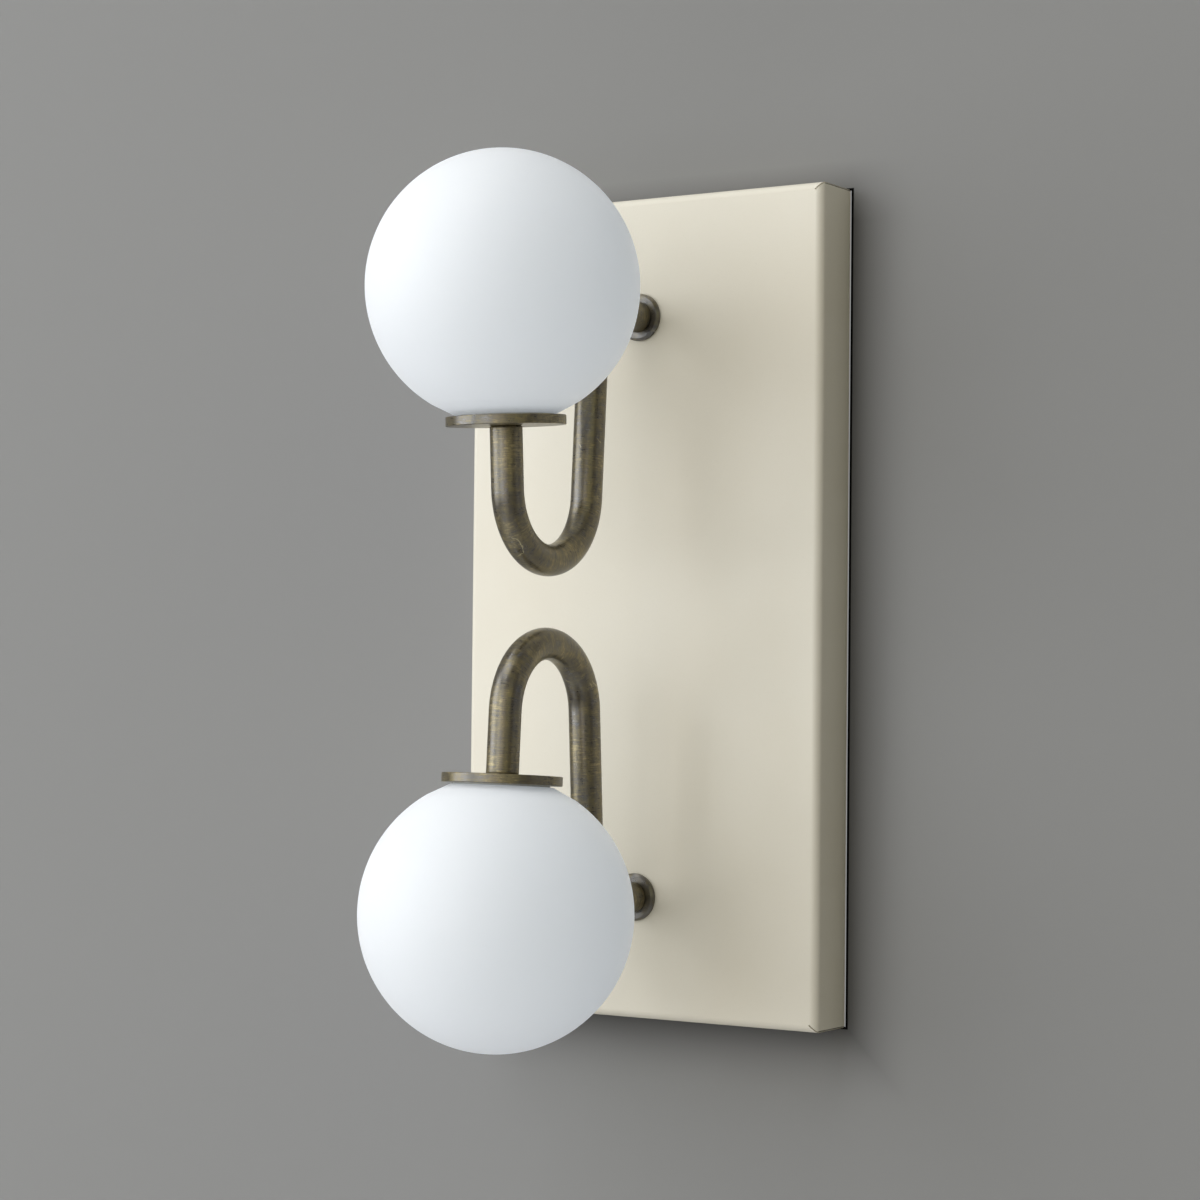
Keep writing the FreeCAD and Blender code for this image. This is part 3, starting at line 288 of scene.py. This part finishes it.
class Flow:
    """A value running through a tree of nodes. Arithmetic on it adds Math nodes."""

    def __init__(self, nodes, socket):
        self.nodes = nodes
        self.socket = socket

    def __add__(self, other):
        return self.nodes.reckon("ADD", self, other)

    def __radd__(self, other):
        return self.nodes.reckon("ADD", other, self)

    def __sub__(self, other):
        return self.nodes.reckon("SUBTRACT", self, other)

    def __rsub__(self, other):
        return self.nodes.reckon("SUBTRACT", other, self)

    def __mul__(self, other):
        return self.nodes.reckon("MULTIPLY", self, other)

    def __rmul__(self, other):
        return self.nodes.reckon("MULTIPLY", other, self)

    def __pow__(self, power):
        return self.nodes.reckon("POWER", self, power)

    def __abs__(self):
        return (self * self) ** 0.5


class Nodes:
    """One tree of nodes, a material's or the surroundings'."""

    def __init__(self, tree):
        self.tree = tree

    def plug(self, socket, value):
        """Give a socket its value, or link what flows into it."""
        if isinstance(value, Flow):
            self.tree.links.new(value.socket, socket)
        else:
            socket.default_value = value

    def node(self, kind, settings=None, sockets=None, output=0):
        """Add a node: its settings first, then the values or links of its sockets."""
        made = self.tree.nodes.new("ShaderNode" + kind)
        for setting, value in (settings or {}).items():
            if setting == "stops":
                place_stops(made.color_ramp, value)
            else:
                setattr(made, setting, value)
        for socket, value in (sockets or {}).items():
            self.plug(made.inputs[socket], value)
        return Flow(self, made.outputs[output])

    def reckon(self, operation, first, second):
        """Add a Math node of two values."""
        return self.node("Math", {"operation": operation}, {0: first, 1: second})

    def larger(self, first, second):
        return self.reckon("MAXIMUM", first, second)


class Finish(Nodes):
    """A material in the making, with one shader and the nodes that vary it."""

    def __init__(self, name, constants=None, shader="BsdfPrincipled"):
        self.material = bpy.data.materials.new(name)
        self.material.use_nodes = True
        super().__init__(self.material.node_tree)
        self.tree.nodes.clear()
        self.shader = self.tree.nodes.new("ShaderNode" + shader)
        self.output = self.tree.nodes.new("ShaderNodeOutputMaterial")
        self.tree.links.new(self.shader.outputs[0], self.output.inputs[0])
        for socket, value in (constants or {}).items():
            self.shader.inputs[socket].default_value = value

    def feed(self, socket, value):
        """Drive one of the shader's own sockets."""
        self.plug(self.shader.inputs[socket], value)

    def object_place(self):
        return self.node("TexCoord", output="Object")

    def own_place(self):
        return self.node("Attribute", {"attribute_name": "own"}, output="Vector")

    def parts(self, place):
        """The three parts of a place, each to be reckoned with alone."""
        first = self.node("SeparateXYZ", None, {0: place})
        return [Flow(self, socket) for socket in first.socket.node.outputs]

    def joined(self, x, y, z):
        return self.node("CombineXYZ", None, {0: x, 1: y, 2: z})

    def stretched(self, place, scale):
        return self.node("VectorMath", {"operation": "MULTIPLY"}, {0: place, 1: scale})

    def noise(self, place, scale, detail=2.0, roughness=0.5, distortion=0.0):
        return self.node("TexNoise", None, {"Vector": place, "Scale": scale, "Detail": detail,
                                            "Roughness": roughness, "Distortion": distortion})

    def ramp(self, value, stops):
        return self.node("ValToRGB", {"stops": stops}, {0: value})

    def span(self, value, low, high, to_low=0.0, to_high=1.0):
        """Carry a range of values to another, held at its ends."""
        return self.node("MapRange", None, {"Value": value, "From Min": low, "From Max": high,
                                            "To Min": to_low, "To Max": to_high})

    def mix(self, share, first, second):
        """Blend two colours by a share of the second."""
        return self.node("Mix", {"data_type": "RGBA"}, {0: share, 6: first, 7: second}, output=2)

    def relief(self, height, distance):
        """Shade the surface as if it stood out by height times distance."""
        self.feed("Normal", self.node("Bump", None, {"Height": height, "Distance": distance,
                                                     "Strength": 1.0}))


def place_stops(ramp, stops):
    """Give a colour ramp its stops, each a position and a colour."""
    while len(ramp.elements) > 1:
        ramp.elements.remove(ramp.elements[-1])
    ramp.elements[0].position, ramp.elements[0].color = stops[0]
    for position, colour in stops[1:]:
        ramp.elements.new(position).color = colour


def paint(red, green, blue):
    """A colour as linear light, from the values of 0 to 255 that a screen shows."""
    linear = [((part / 255 + 0.055) / 1.055) ** 2.4 if part > 10 else part / 255 / 12.92
              for part in (red, green, blue)]
    return (*linear, 1.0)


def grey(level):
    return (level, level, level, 1.0)


def powder_coat():
    """Cream powder coat: a fine orange peel, faint clouding and a satin sheen that drifts a little.

    A thin dark line of shadow runs across each end of the side flanges, where the coat stops at the
    seam to the top and bottom flanges.
    """
    finish = Finish("cream_powder_coat", {"Specular IOR Level": 0.4})
    place = finish.object_place()
    cloud = finish.noise(place, 14, detail=3)
    fleck = finish.noise(place, 2600, detail=1)
    cream = finish.mix(finish.span(cloud, 0.3, 0.7), paint(226, 220, 204), paint(230, 225, 211))
    cream = finish.mix(finish.span(fleck, 0.66, 0.78, 0, 0.22), cream, paint(205, 199, 182))
    across, deep, up = finish.parts(place)
    on_side = finish.span(abs(across), COVER_SIDE - SIDE_FADE[0], COVER_SIDE - SIDE_FADE[1])
    wander = (finish.noise(place, 260, detail=2) - 0.5) * SEAM_WANDER * MM
    at_end = finish.span(abs(up) + wander, COVER_TOP - SEAM_FADE[0], COVER_TOP - SEAM_FADE[1])
    # Painted shadow along the seam at each end of the side flanges.
    seam = on_side * at_end * SEAM_SHADOW_DARKNESS
    finish.feed("Base Color", finish.mix(seam, cream, paint(60, 58, 46)))
    peel = finish.noise(place, 420, detail=2)
    grain = finish.noise(place, 1900, detail=2)
    finish.feed("Roughness", finish.span(peel + cloud * 0.5, 0.4, 1.1, 0.46, 0.58))
    finish.relief(peel * 0.75 + grain * 0.25, 0.035 * MM)
    return finish


def aged_brass():
    """Patinated brass: dark brown and olive mottling and short fine brush lines round the piece.

    The arms have sparse pale scuffs, broken arcs of a cell pattern's rings. The collars are darker.
    """
    finish = Finish("aged_brass", {"IOR": 2.4})
    place = finish.own_place()
    across, deep, along = finish.parts(place)
    radius = (across * across + deep * deep) ** 0.5
    station = along + radius

    def brushed(round_scale, along_scale, detail):
        stroke = finish.joined(across * round_scale, deep * round_scale, station * along_scale)
        return finish.noise(stroke, 1, detail=detail)

    fine_lines = brushed(260, 3300, 3)
    broad_lines = brushed(120, 1100, 2)
    cloud = finish.noise(place, 70, detail=3, roughness=0.6, distortion=0.4)
    mottle = finish.noise(place, 330, detail=4, roughness=0.68, distortion=0.5)
    speck = finish.noise(place, 1500, detail=2, roughness=0.7)
    on_collar = finish.span(along, COLLAR_SHIFT * 0.2, COLLAR_SHIFT * 0.1, 1, 0)
    tone = (cloud * 0.26 + mottle * 0.3 + fine_lines * 0.28 + broad_lines * 0.08 + speck * 0.08
            - on_collar * 0.08)
    patina = finish.ramp(tone, [(0.37, paint(32, 26, 15)), (0.46, paint(70, 61, 38)),
                                (0.53, paint(107, 96, 63)), (0.62, paint(166, 153, 114))])
    olive = finish.span(finish.noise(place, 210, detail=4, roughness=0.7), 0.52, 0.66, 0, 0.5)
    patina = finish.mix(olive, patina, paint(116, 104, 58))
    cells = finish.node("TexVoronoi", {"feature": "F1"}, {"Vector": place, "Scale": 105.0},
                        output="Distance")
    ring = cells + (finish.noise(place, 420, detail=2) - 0.5) * 0.2
    hairline = 1 - finish.span((ring - 0.4) * (ring - 0.4), 0.0, 0.0005)
    sparse = (finish.span(finish.noise(place, 45, detail=1), 0.55, 0.6)
              * finish.span(finish.noise(place, 190, detail=1), 0.5, 0.6))
    bent_part = finish.span(radius, TUBE_RADIUS * 1.02, TUBE_RADIUS * 1.05, 1, 0)
    scuff = hairline * sparse * bent_part
    finish.feed("Base Color", finish.mix(scuff * 0.6, patina, paint(206, 194, 150)))
    finish.feed("Metallic", finish.span(tone, 0.38, 0.61, 0.18, 0.7))
    finish.feed("Roughness", finish.span(mottle * 0.5 + fine_lines * 0.5, 0.35, 0.65, 0.24, 0.42))
    finish.relief(fine_lines * 0.5 + broad_lines * 0.2 + speck * 0.2 - scuff * 0.3, 0.04 * MM)
    return finish


def opal_glass():
    """Opal glass, acid-etched, white all through and matt, with blown glass's faintest unevenness and a painted
    glow.
    """
    # The emission is a painted glow with the lamp off: it lifts the globe's shaded side.
    finish = Finish("opal_glass", {
        "Subsurface Weight": 1.0, "Subsurface Radius": (1.0, 1.0, 1.0), "Subsurface Scale": 20 * MM,
        "Emission Color": paint(240, 248, 255), "Emission Strength": 0.15,
        "Specular IOR Level": 0.3})
    place = finish.object_place()
    cloud = finish.noise(place, 18, detail=2)
    finish.feed("Base Color", finish.mix(cloud, paint(234, 236, 240), paint(239, 241, 244)))
    finish.feed("Roughness", finish.span(cloud, 0.3, 0.7, 0.52, 0.6))
    waves = finish.noise(place, 60, detail=1)
    etching = finish.noise(place, 2400, detail=1)
    finish.relief(waves * 0.7 + etching * 0.03, 0.12 * MM)
    return finish


def plated_steel():
    """Bright zinc plate: a cool grey with the faintest bloom, a fine spangle and drawing marks."""
    finish = Finish("zinc_plated_steel", {"Metallic": 1.0})
    place = finish.object_place()
    bloom = finish.noise(place, 38, detail=4, roughness=0.6)
    spangle = finish.noise(place, 900, detail=2)
    zinc = finish.ramp(bloom * 0.7 + spangle * 0.3, [
        (0.36, paint(184, 188, 194)), (0.5, paint(196, 198, 200)), (0.64, paint(203, 202, 197))])
    finish.feed("Base Color", zinc)
    drawn = finish.noise(finish.stretched(place, (900, 900, 60)), 1, detail=2)
    finish.feed("Roughness", finish.span(drawn * 0.4 + spangle * 0.6, 0.35, 0.65, 0.3, 0.44))
    finish.relief(drawn * 0.6 + spangle * 0.4, 0.015 * MM)
    return finish


def nickel_plate():
    """Nickel over brass: warm grey, lightly handled."""
    finish = Finish("nickel_plated_brass", {"Metallic": 1.0})
    place = finish.object_place()
    touch = finish.noise(place, 300, detail=3)
    finish.feed("Base Color", finish.mix(touch, paint(190, 182, 166), paint(214, 208, 196)))
    finish.feed("Roughness", finish.span(touch, 0.3, 0.7, 0.2, 0.36))
    finish.relief(touch, 0.01 * MM)
    return finish


def turned_aluminium():
    """Bare aluminium off the lathe: rings of fine tool marks about the piece's own axis."""
    finish = Finish("turned_aluminium", {"Metallic": 1.0})
    place = finish.own_place()
    marks = finish.noise(finish.stretched(place, (90, 90, 5200)), 1, detail=2, roughness=0.6)
    dull = finish.noise(place, 160, detail=2)
    finish.feed("Base Color", finish.mix(marks, paint(186, 188, 191), paint(214, 216, 218)))
    finish.feed("Roughness", finish.span(marks * 0.6 + dull * 0.4, 0.35, 0.65, 0.26, 0.4))
    finish.relief(marks, 0.02 * MM)
    return finish


def moulded(name, dark, light, rough, sheen=0.35, scale=900, depth=0.02):
    """Moulded plastic, rubber, silicone or glazed clay: two near tones, a fine skin, some gloss."""
    finish = Finish(name, {"Specular IOR Level": sheen})
    place = finish.object_place()
    cloud = finish.noise(place, 60, detail=2)
    skin_grain = finish.noise(place, scale, detail=2)
    finish.feed("Base Color", finish.mix(cloud, paint(*dark), paint(*light)))
    finish.feed("Roughness", finish.span(skin_grain, 0.3, 0.7, rough - 0.05, rough + 0.05))
    finish.relief(skin_grain, depth * MM)
    return finish


def earth_insulation():
    """Green insulation with a yellow stripe that runs along the lead's length."""
    finish = Finish("earth_lead_insulation", {"Specular IOR Level": 0.4})
    place = finish.object_place()
    bands = finish.node("TexWave", {"wave_type": "BANDS", "bands_direction": "DIAGONAL"},
                        {"Vector": place, "Scale": 95.0, "Distortion": 0.4, "Detail": 1.0})
    finish.feed("Base Color", finish.mix(finish.span(bands, 0.45, 0.55), paint(38, 122, 52),
                                         paint(222, 200, 48)))
    finish.feed("Roughness", finish.span(finish.noise(place, 700), 0.3, 0.7, 0.3, 0.42))
    return finish


FINISHES = {
    "cream_powder_coat": powder_coat(),
    "aged_brass": aged_brass(),
    "opal_glass": opal_glass(),
    "zinc_plated_steel": plated_steel(),
    "nickel_plated_brass": nickel_plate(),
    "turned_aluminium": turned_aluminium(),
    "black_rubber": moulded("black_rubber", (26, 26, 27), (36, 36, 36), 0.7),
    "clear_silicone": moulded("clear_silicone", (206, 206, 202), (222, 222, 219), 0.42, 0.5),
    "white_nylon": moulded("white_nylon", (220, 220, 214), (232, 232, 227), 0.5),
    "black_lead_sheath": moulded("black_lead_sheath", (24, 24, 25), (34, 34, 36), 0.38, 0.5),
    "earth_lead_insulation": earth_insulation(),
    "glazed_white_ceramic": moulded("glazed_white_ceramic", (232, 229, 220), (240, 238, 231), 0.16,
                                    0.6, 320, 0.03),
    "frosted_lamp_cover": moulded("frosted_lamp_cover", (236, 236, 231), (244, 244, 240), 0.55),
    "white_lamp_base": moulded("white_lamp_base", (228, 228, 223), (238, 238, 234), 0.4),
}


def dress(piece, body, node, slot_name):
    """Give a new piece the finish that its slot names and its body, and hide the CAD node that it stands for."""
    piece.data.materials.append(FINISHES[slot_name].material)
    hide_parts(node)
    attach(piece, body)


def dress_frame():
    """Give each CAD node the finish that its record slot names."""
    for part in frame["record"]["subparts"]:
        node = frame["nodes"][part["node"]]
        material = FINISHES[part["material_slot"]].material
        node.data.materials.clear()
        node.data.materials.append(material)


# ---------------------------------------------------------------- pieces


def read_heads():
    """Each head's axis and the end of its tube, from the joint that its globe turns on."""
    for joint in frame["joints"]:
        if joint["name"].endswith("globe_unscrew"):
            side = joint["name"].split("_")[0]
            axis = np.array(joint["axis"], float)
            head_axis[side] = axis / np.linalg.norm(axis)
            head_foot[side] = np.array(joint["pos_m"], float) - GLOBE_CENTRE * head_axis[side]


def thread(radius, height, angle):
    """A rounded thread in a wall: half its depth times 1 + cos(2 pi height / pitch - angle)."""
    return 0.5 * THREAD_DEPTH * (1 + np.cos(2 * math.pi * height / THREAD_PITCH - angle))


def carrier_groove(radius, height, angle):
    """Thread on the carrier's outside, faded out at both rims."""
    fade = np.clip(np.minimum(height - DISC_THICKNESS, CARRIER_TOP - height) / THREAD_FADE, 0, 1)
    outside = (radius > CARRIER_RADIUS - SUPPORT) * fade
    return -thread(radius, height, angle) * outside


def neck_groove(radius, height, angle):
    """The same thread inside the globe's neck, faded out at both ends."""
    fade = np.clip(np.minimum(height - GLOBE_FOOT, NECK_TOP - height) / THREAD_FADE, 0, 1)
    bore = (np.abs(radius - NECK_BORE) < SUPPORT) * fade
    return thread(radius, height, angle) * bore


def make_disc(side, shift):
    """Turned brass disc with a plain hole and softened edges."""
    corners = [(NIPPLE_HOLE, 0), (DISC_RADIUS, 0), (DISC_RADIUS, DISC_THICKNESS),
               (NIPPLE_HOLE, DISC_THICKNESS)]
    profile = divided(rounded(corners, [EASED, DISC_EDGE, DISC_EDGE, EASED]), DISC_STEP)
    piece = turned(f"{side}_turned_disc", profile, head_foot[side], head_axis[side], shift=shift)
    dress(piece, "wall_light", f"{side}_disc", "aged_brass")


def make_collar(side, sign, shift):
    """Bevelled brass ring between the arm and the cover."""
    corners = [(NIPPLE_HOLE, 0), (COLLAR_RADIUS, 0),
               (COLLAR_RADIUS, COLLAR_THICKNESS - COLLAR_BEVEL),
               (COLLAR_RADIUS - COLLAR_BEVEL, COLLAR_THICKNESS), (NIPPLE_HOLE, COLLAR_THICKNESS)]
    profile = rounded(corners, [EASED] * len(corners))
    foot = (0.0, COVER_FRONT, sign * ARM_HOLE_HEIGHT)
    piece = turned(f"{side}_bevelled_collar", profile, foot, (0, -1, 0),
                   shift=shift + COLLAR_SHIFT)
    dress(piece, "wall_light", f"{side}_collar", "aged_brass")


def make_carrier(side, shift):
    """Turned cup that the globe screws on to, threaded outside."""
    corners = [(NIPPLE_HOLE, DISC_THICKNESS), (CARRIER_RADIUS, DISC_THICKNESS),
               (CARRIER_RADIUS, CARRIER_TOP), (HOLDER_BORE, CARRIER_TOP),
               (HOLDER_BORE, CARRIER_LEDGE), (CARRIER_NUT_BORE, CARRIER_LEDGE),
               (CARRIER_NUT_BORE, CARRIER_FLOOR), (NIPPLE_HOLE, CARRIER_FLOOR)]
    profile = divided(rounded(corners, [CARRIER_EDGE] * len(corners)), CARRIER_STEP)
    piece = turned(f"{side}_threaded_carrier", profile, head_foot[side], head_axis[side],
                   groove=carrier_groove, shift=shift)
    dress(piece, "wall_light", f"{side}_shade_carrier", "turned_aluminium")


def make_globe(side, shift):
    """Opal globe: a sphere outside and in, a flat foot with a soft edge and a threaded neck."""
    centre = (0.0, GLOBE_CENTRE)
    inside = GLOBE_RADIUS - GLASS
    neck_angle = -math.degrees(math.acos(NECK_RADIUS / inside))
    rim_angle = -math.degrees(math.acos(GLOBE_RIM / GLOBE_RADIUS))
    inner = arc(centre, inside, 90, neck_angle, INSIDE_POINTS)
    outer = arc(centre, GLOBE_RADIUS, rim_angle, 90, OUTSIDE_POINTS)
    foot_corners = [inner[-1], (NECK_RADIUS, NECK_TOP), (NECK_BORE, NECK_TOP),
                    (NECK_BORE, GLOBE_FOOT), outer[0], outer[FOOT_POINTS]]
    foot_rounds = [0, NECK_EDGE, NECK_EDGE, NECK_EDGE, FOOT_ROUND, 0]
    foot = rounded(foot_corners, foot_rounds, closed=False)
    profile = np.vstack([inner[:-1], divided(foot, NECK_STEP), outer[FOOT_POINTS + 1:]])
    piece = turned(f"{side}_opal_globe", profile, head_foot[side], head_axis[side], loop=False,
                   groove=neck_groove, shift=shift)
    dress(piece, f"{side}_globe_glass", f"{side}_globe", "opal_glass")


def make_arm(side, sign, shift):
    """Bent brass tube from the collar to the disc."""
    piece = bent_tube(f"{side}_bent_tube", arm_line(sign), shift)
    dress(piece, "wall_light", f"{side}_arm", "aged_brass")


# ---------------------------------------------------------------- studio

STUDIO_REACH = 4.0
WALL_PLACE = 0.2 * MM
WALL_GREY = 0.36
HOLE_REACH = (COVER_SIDE - 0.2 * MM, COVER_TOP - 0.2 * MM)
# Painted shadow on the wall: a dark band at the cover's outline, and a darkening beside its right and lower edges.
GAP_SHADOW = 0.7 * MM
GAP_EDGE = 1.12 * MM
PAINTED_SHADOW_GREY = 0.004
NEAR_COVER = 30 * MM
NEAR_SHADE = 0.7
SHADE_END = 12 * MM
FLOOR_HEIGHT = -1.35
FLOOR_GREY = 0.85

CAMERA_PLACE = (0.586532, -0.968625, -0.028125)
CAMERA_YAW = 32.595
CAMERA_PITCH = 1.573
CAMERA_ROLL = 0.560
CAMERA_LENS = 85.544
SENSOR = 36.0


def stage_plane(name, corners, faces, finish):
    """A flat piece of the studio."""
    mesh = bpy.data.meshes.new(name)
    mesh.from_pydata(corners, [], faces)
    mesh.materials.append(finish.material)
    piece = bpy.data.objects.new(name, mesh)
    bpy.context.scene.collection.objects.link(piece)


def wall_paint():
    """Matt grey, seen from the front only, with a painted band of shadow round the cover.

    Towards the cover's right and lower edges the wall carries a painted shadow, darker by the square of
    the nearness.
    """
    finish = Finish("studio_wall", {"Color": grey(WALL_GREY), "Roughness": 1.0}, "BsdfDiffuse")
    across, _, up = finish.parts(finish.object_place())
    outside = finish.larger(abs(across) - COVER_SIDE, abs(up) - COVER_TOP)
    # Painted shadow: a dark band at the cover's outline, and a darkening beside its right and lower edges.
    painted_gap_shadow = finish.span(outside, GAP_SHADOW, GAP_EDGE, 1, 0)
    beyond = finish.larger(across - COVER_SIDE, -COVER_TOP - up)
    near = finish.span(beyond, 0, NEAR_COVER, 1, 0) ** 2 * NEAR_SHADE
    near = near * finish.span(up, COVER_TOP - SHADE_END, COVER_TOP + SHADE_END, 1, 0)
    near = near * finish.span(across, -COVER_SIDE - SHADE_END, -COVER_SIDE + SHADE_END)
    pale = Flow(finish, finish.shader.outputs[0])
    dark = finish.node("BsdfDiffuse", None, {"Color": grey(PAINTED_SHADOW_GREY)})
    clear = finish.node("BsdfTransparent")
    from_behind = finish.node("NewGeometry", output="Backfacing")
    front = finish.node("MixShader", None, {0: finish.larger(painted_gap_shadow, near), 1: pale, 2: dark})
    both = finish.node("MixShader", None, {0: from_behind, 1: front, 2: clear})
    finish.plug(finish.output.inputs[0], both)
    return finish


def make_studio():
    """A pale wall, open behind the cover, and a pale floor far below."""
    def outline(wide, tall):
        return [(-wide, -tall), (wide, -tall), (wide, tall), (-wide, tall)]

    rings = outline(STUDIO_REACH, STUDIO_REACH) + outline(*HOLE_REACH)
    wall = [(x, WALL_PLACE, z) for x, z in rings]
    wall_faces = [(side, (side + 1) % 4, (side + 1) % 4 + 4, side + 4) for side in range(4)]
    stage_plane("studio_wall", wall, wall_faces, wall_paint())
    floor = [(x, y, FLOOR_HEIGHT) for x, y in outline(STUDIO_REACH, STUDIO_REACH)]
    floor_finish = Finish("studio_floor", {"Color": grey(FLOOR_GREY), "Roughness": 1.0},
                          "BsdfDiffuse")
    stage_plane("studio_floor", floor, [(0, 1, 2, 3)], floor_finish)


# Each lamp's name, place, width and height, power in watts and colour.
LAMPS = (
    ("window", (-1.5, -1.25, 0.45), (1.3, 1.7), 21.3, (0.98, 0.99, 1.0)),
    ("front_left", (-0.6, -2.2, 0.4), (1.8, 1.8), 12, (0.92, 1.0, 1.08)),
    ("front", (0.3, -2.6, 0.2), (2.2, 2.2), 16, (1.06, 1.0, 0.93)),
    ("overhead", (-0.4, -0.9, 1.7), (1.6, 1.2), 16.5, (1.0, 1.0, 1.0)),
    ("right_fill", (1.7, -1.5, 0.6), (1.4, 1.6), 3.8, (1.0, 0.93, 0.5)),
    ("low_fill", (-0.4, -1.2, -1.1), (1.4, 1.0), 1.6, (1.0, 1.0, 1.0)),
    ("rear", (0.75, 1.3, 0.6), (1.0, 1.2), 20, (1.0, 1.0, 1.0)),
)
LIT_POINT = (0.0, -0.05, 0.0)
SURROUND_LIGHT = 0.02
SURROUND_SEEN = 0.28
SURROUND_MIRRORED = 0.12


def light_studio():
    """Large soft lights, strongest from the left, and one behind the wall for the rear."""
    for name, place, (width, height), power, colour in LAMPS:
        lamp = bpy.data.lights.new(name, "AREA")
        lamp.shape = "RECTANGLE"
        lamp.size = width
        lamp.size_y = height
        lamp.energy = power
        lamp.color = colour
        holder = bpy.data.objects.new(name, lamp)
        holder.location = place
        sight = Vector(LIT_POINT) - Vector(place)
        holder.rotation_euler = sight.to_track_quat("-Z", "Y").to_euler()
        bpy.context.scene.collection.objects.link(holder)


def surround_studio():
    """Surroundings that hardly light the piece, but are pale to the eye and grey in the metal."""
    world = bpy.data.worlds.new("studio_surround")
    bpy.context.scene.world = world
    world.use_nodes = True
    nodes = Nodes(world.node_tree)
    surround = world.node_tree.nodes["Background"]
    surround.inputs["Color"].default_value = grey(1.0)
    straight = nodes.node("LightPath", output="Is Camera Ray")
    mirrored = nodes.node("LightPath", output="Is Glossy Ray")
    nodes.plug(surround.inputs["Strength"],
               straight * SURROUND_SEEN + mirrored * SURROUND_MIRRORED + SURROUND_LIGHT)


def place_camera():
    """The photograph's view: turned left from straight on, a touch upwards and rolled."""
    camera = bpy.data.cameras.new("camera")
    camera.sensor_width = SENSOR
    camera.lens = CAMERA_LENS
    holder = bpy.data.objects.new("camera", camera)
    turn = (Matrix.Rotation(math.radians(CAMERA_YAW), 4, "Z")
            @ Matrix.Rotation(math.radians(90 + CAMERA_PITCH), 4, "X")
            @ Matrix.Rotation(math.radians(CAMERA_ROLL), 4, "Z"))
    holder.matrix_world = Matrix.Translation(CAMERA_PLACE) @ turn
    bpy.context.scene.collection.objects.link(holder)
    bpy.context.scene.camera = holder


head_axis = {}
head_foot = {}
read_heads()
dress_frame()
for side, sign, shift in (("upper", 1, UPPER_SHIFT), ("lower", -1, LOWER_SHIFT)):
    make_arm(side, sign, shift)
    make_collar(side, sign, shift)
    make_disc(side, shift)
    make_carrier(side, shift)
    make_globe(side, shift)
make_studio()
light_studio()
surround_studio()
place_camera()
bpy.context.scene.view_settings.view_transform = "Standard"
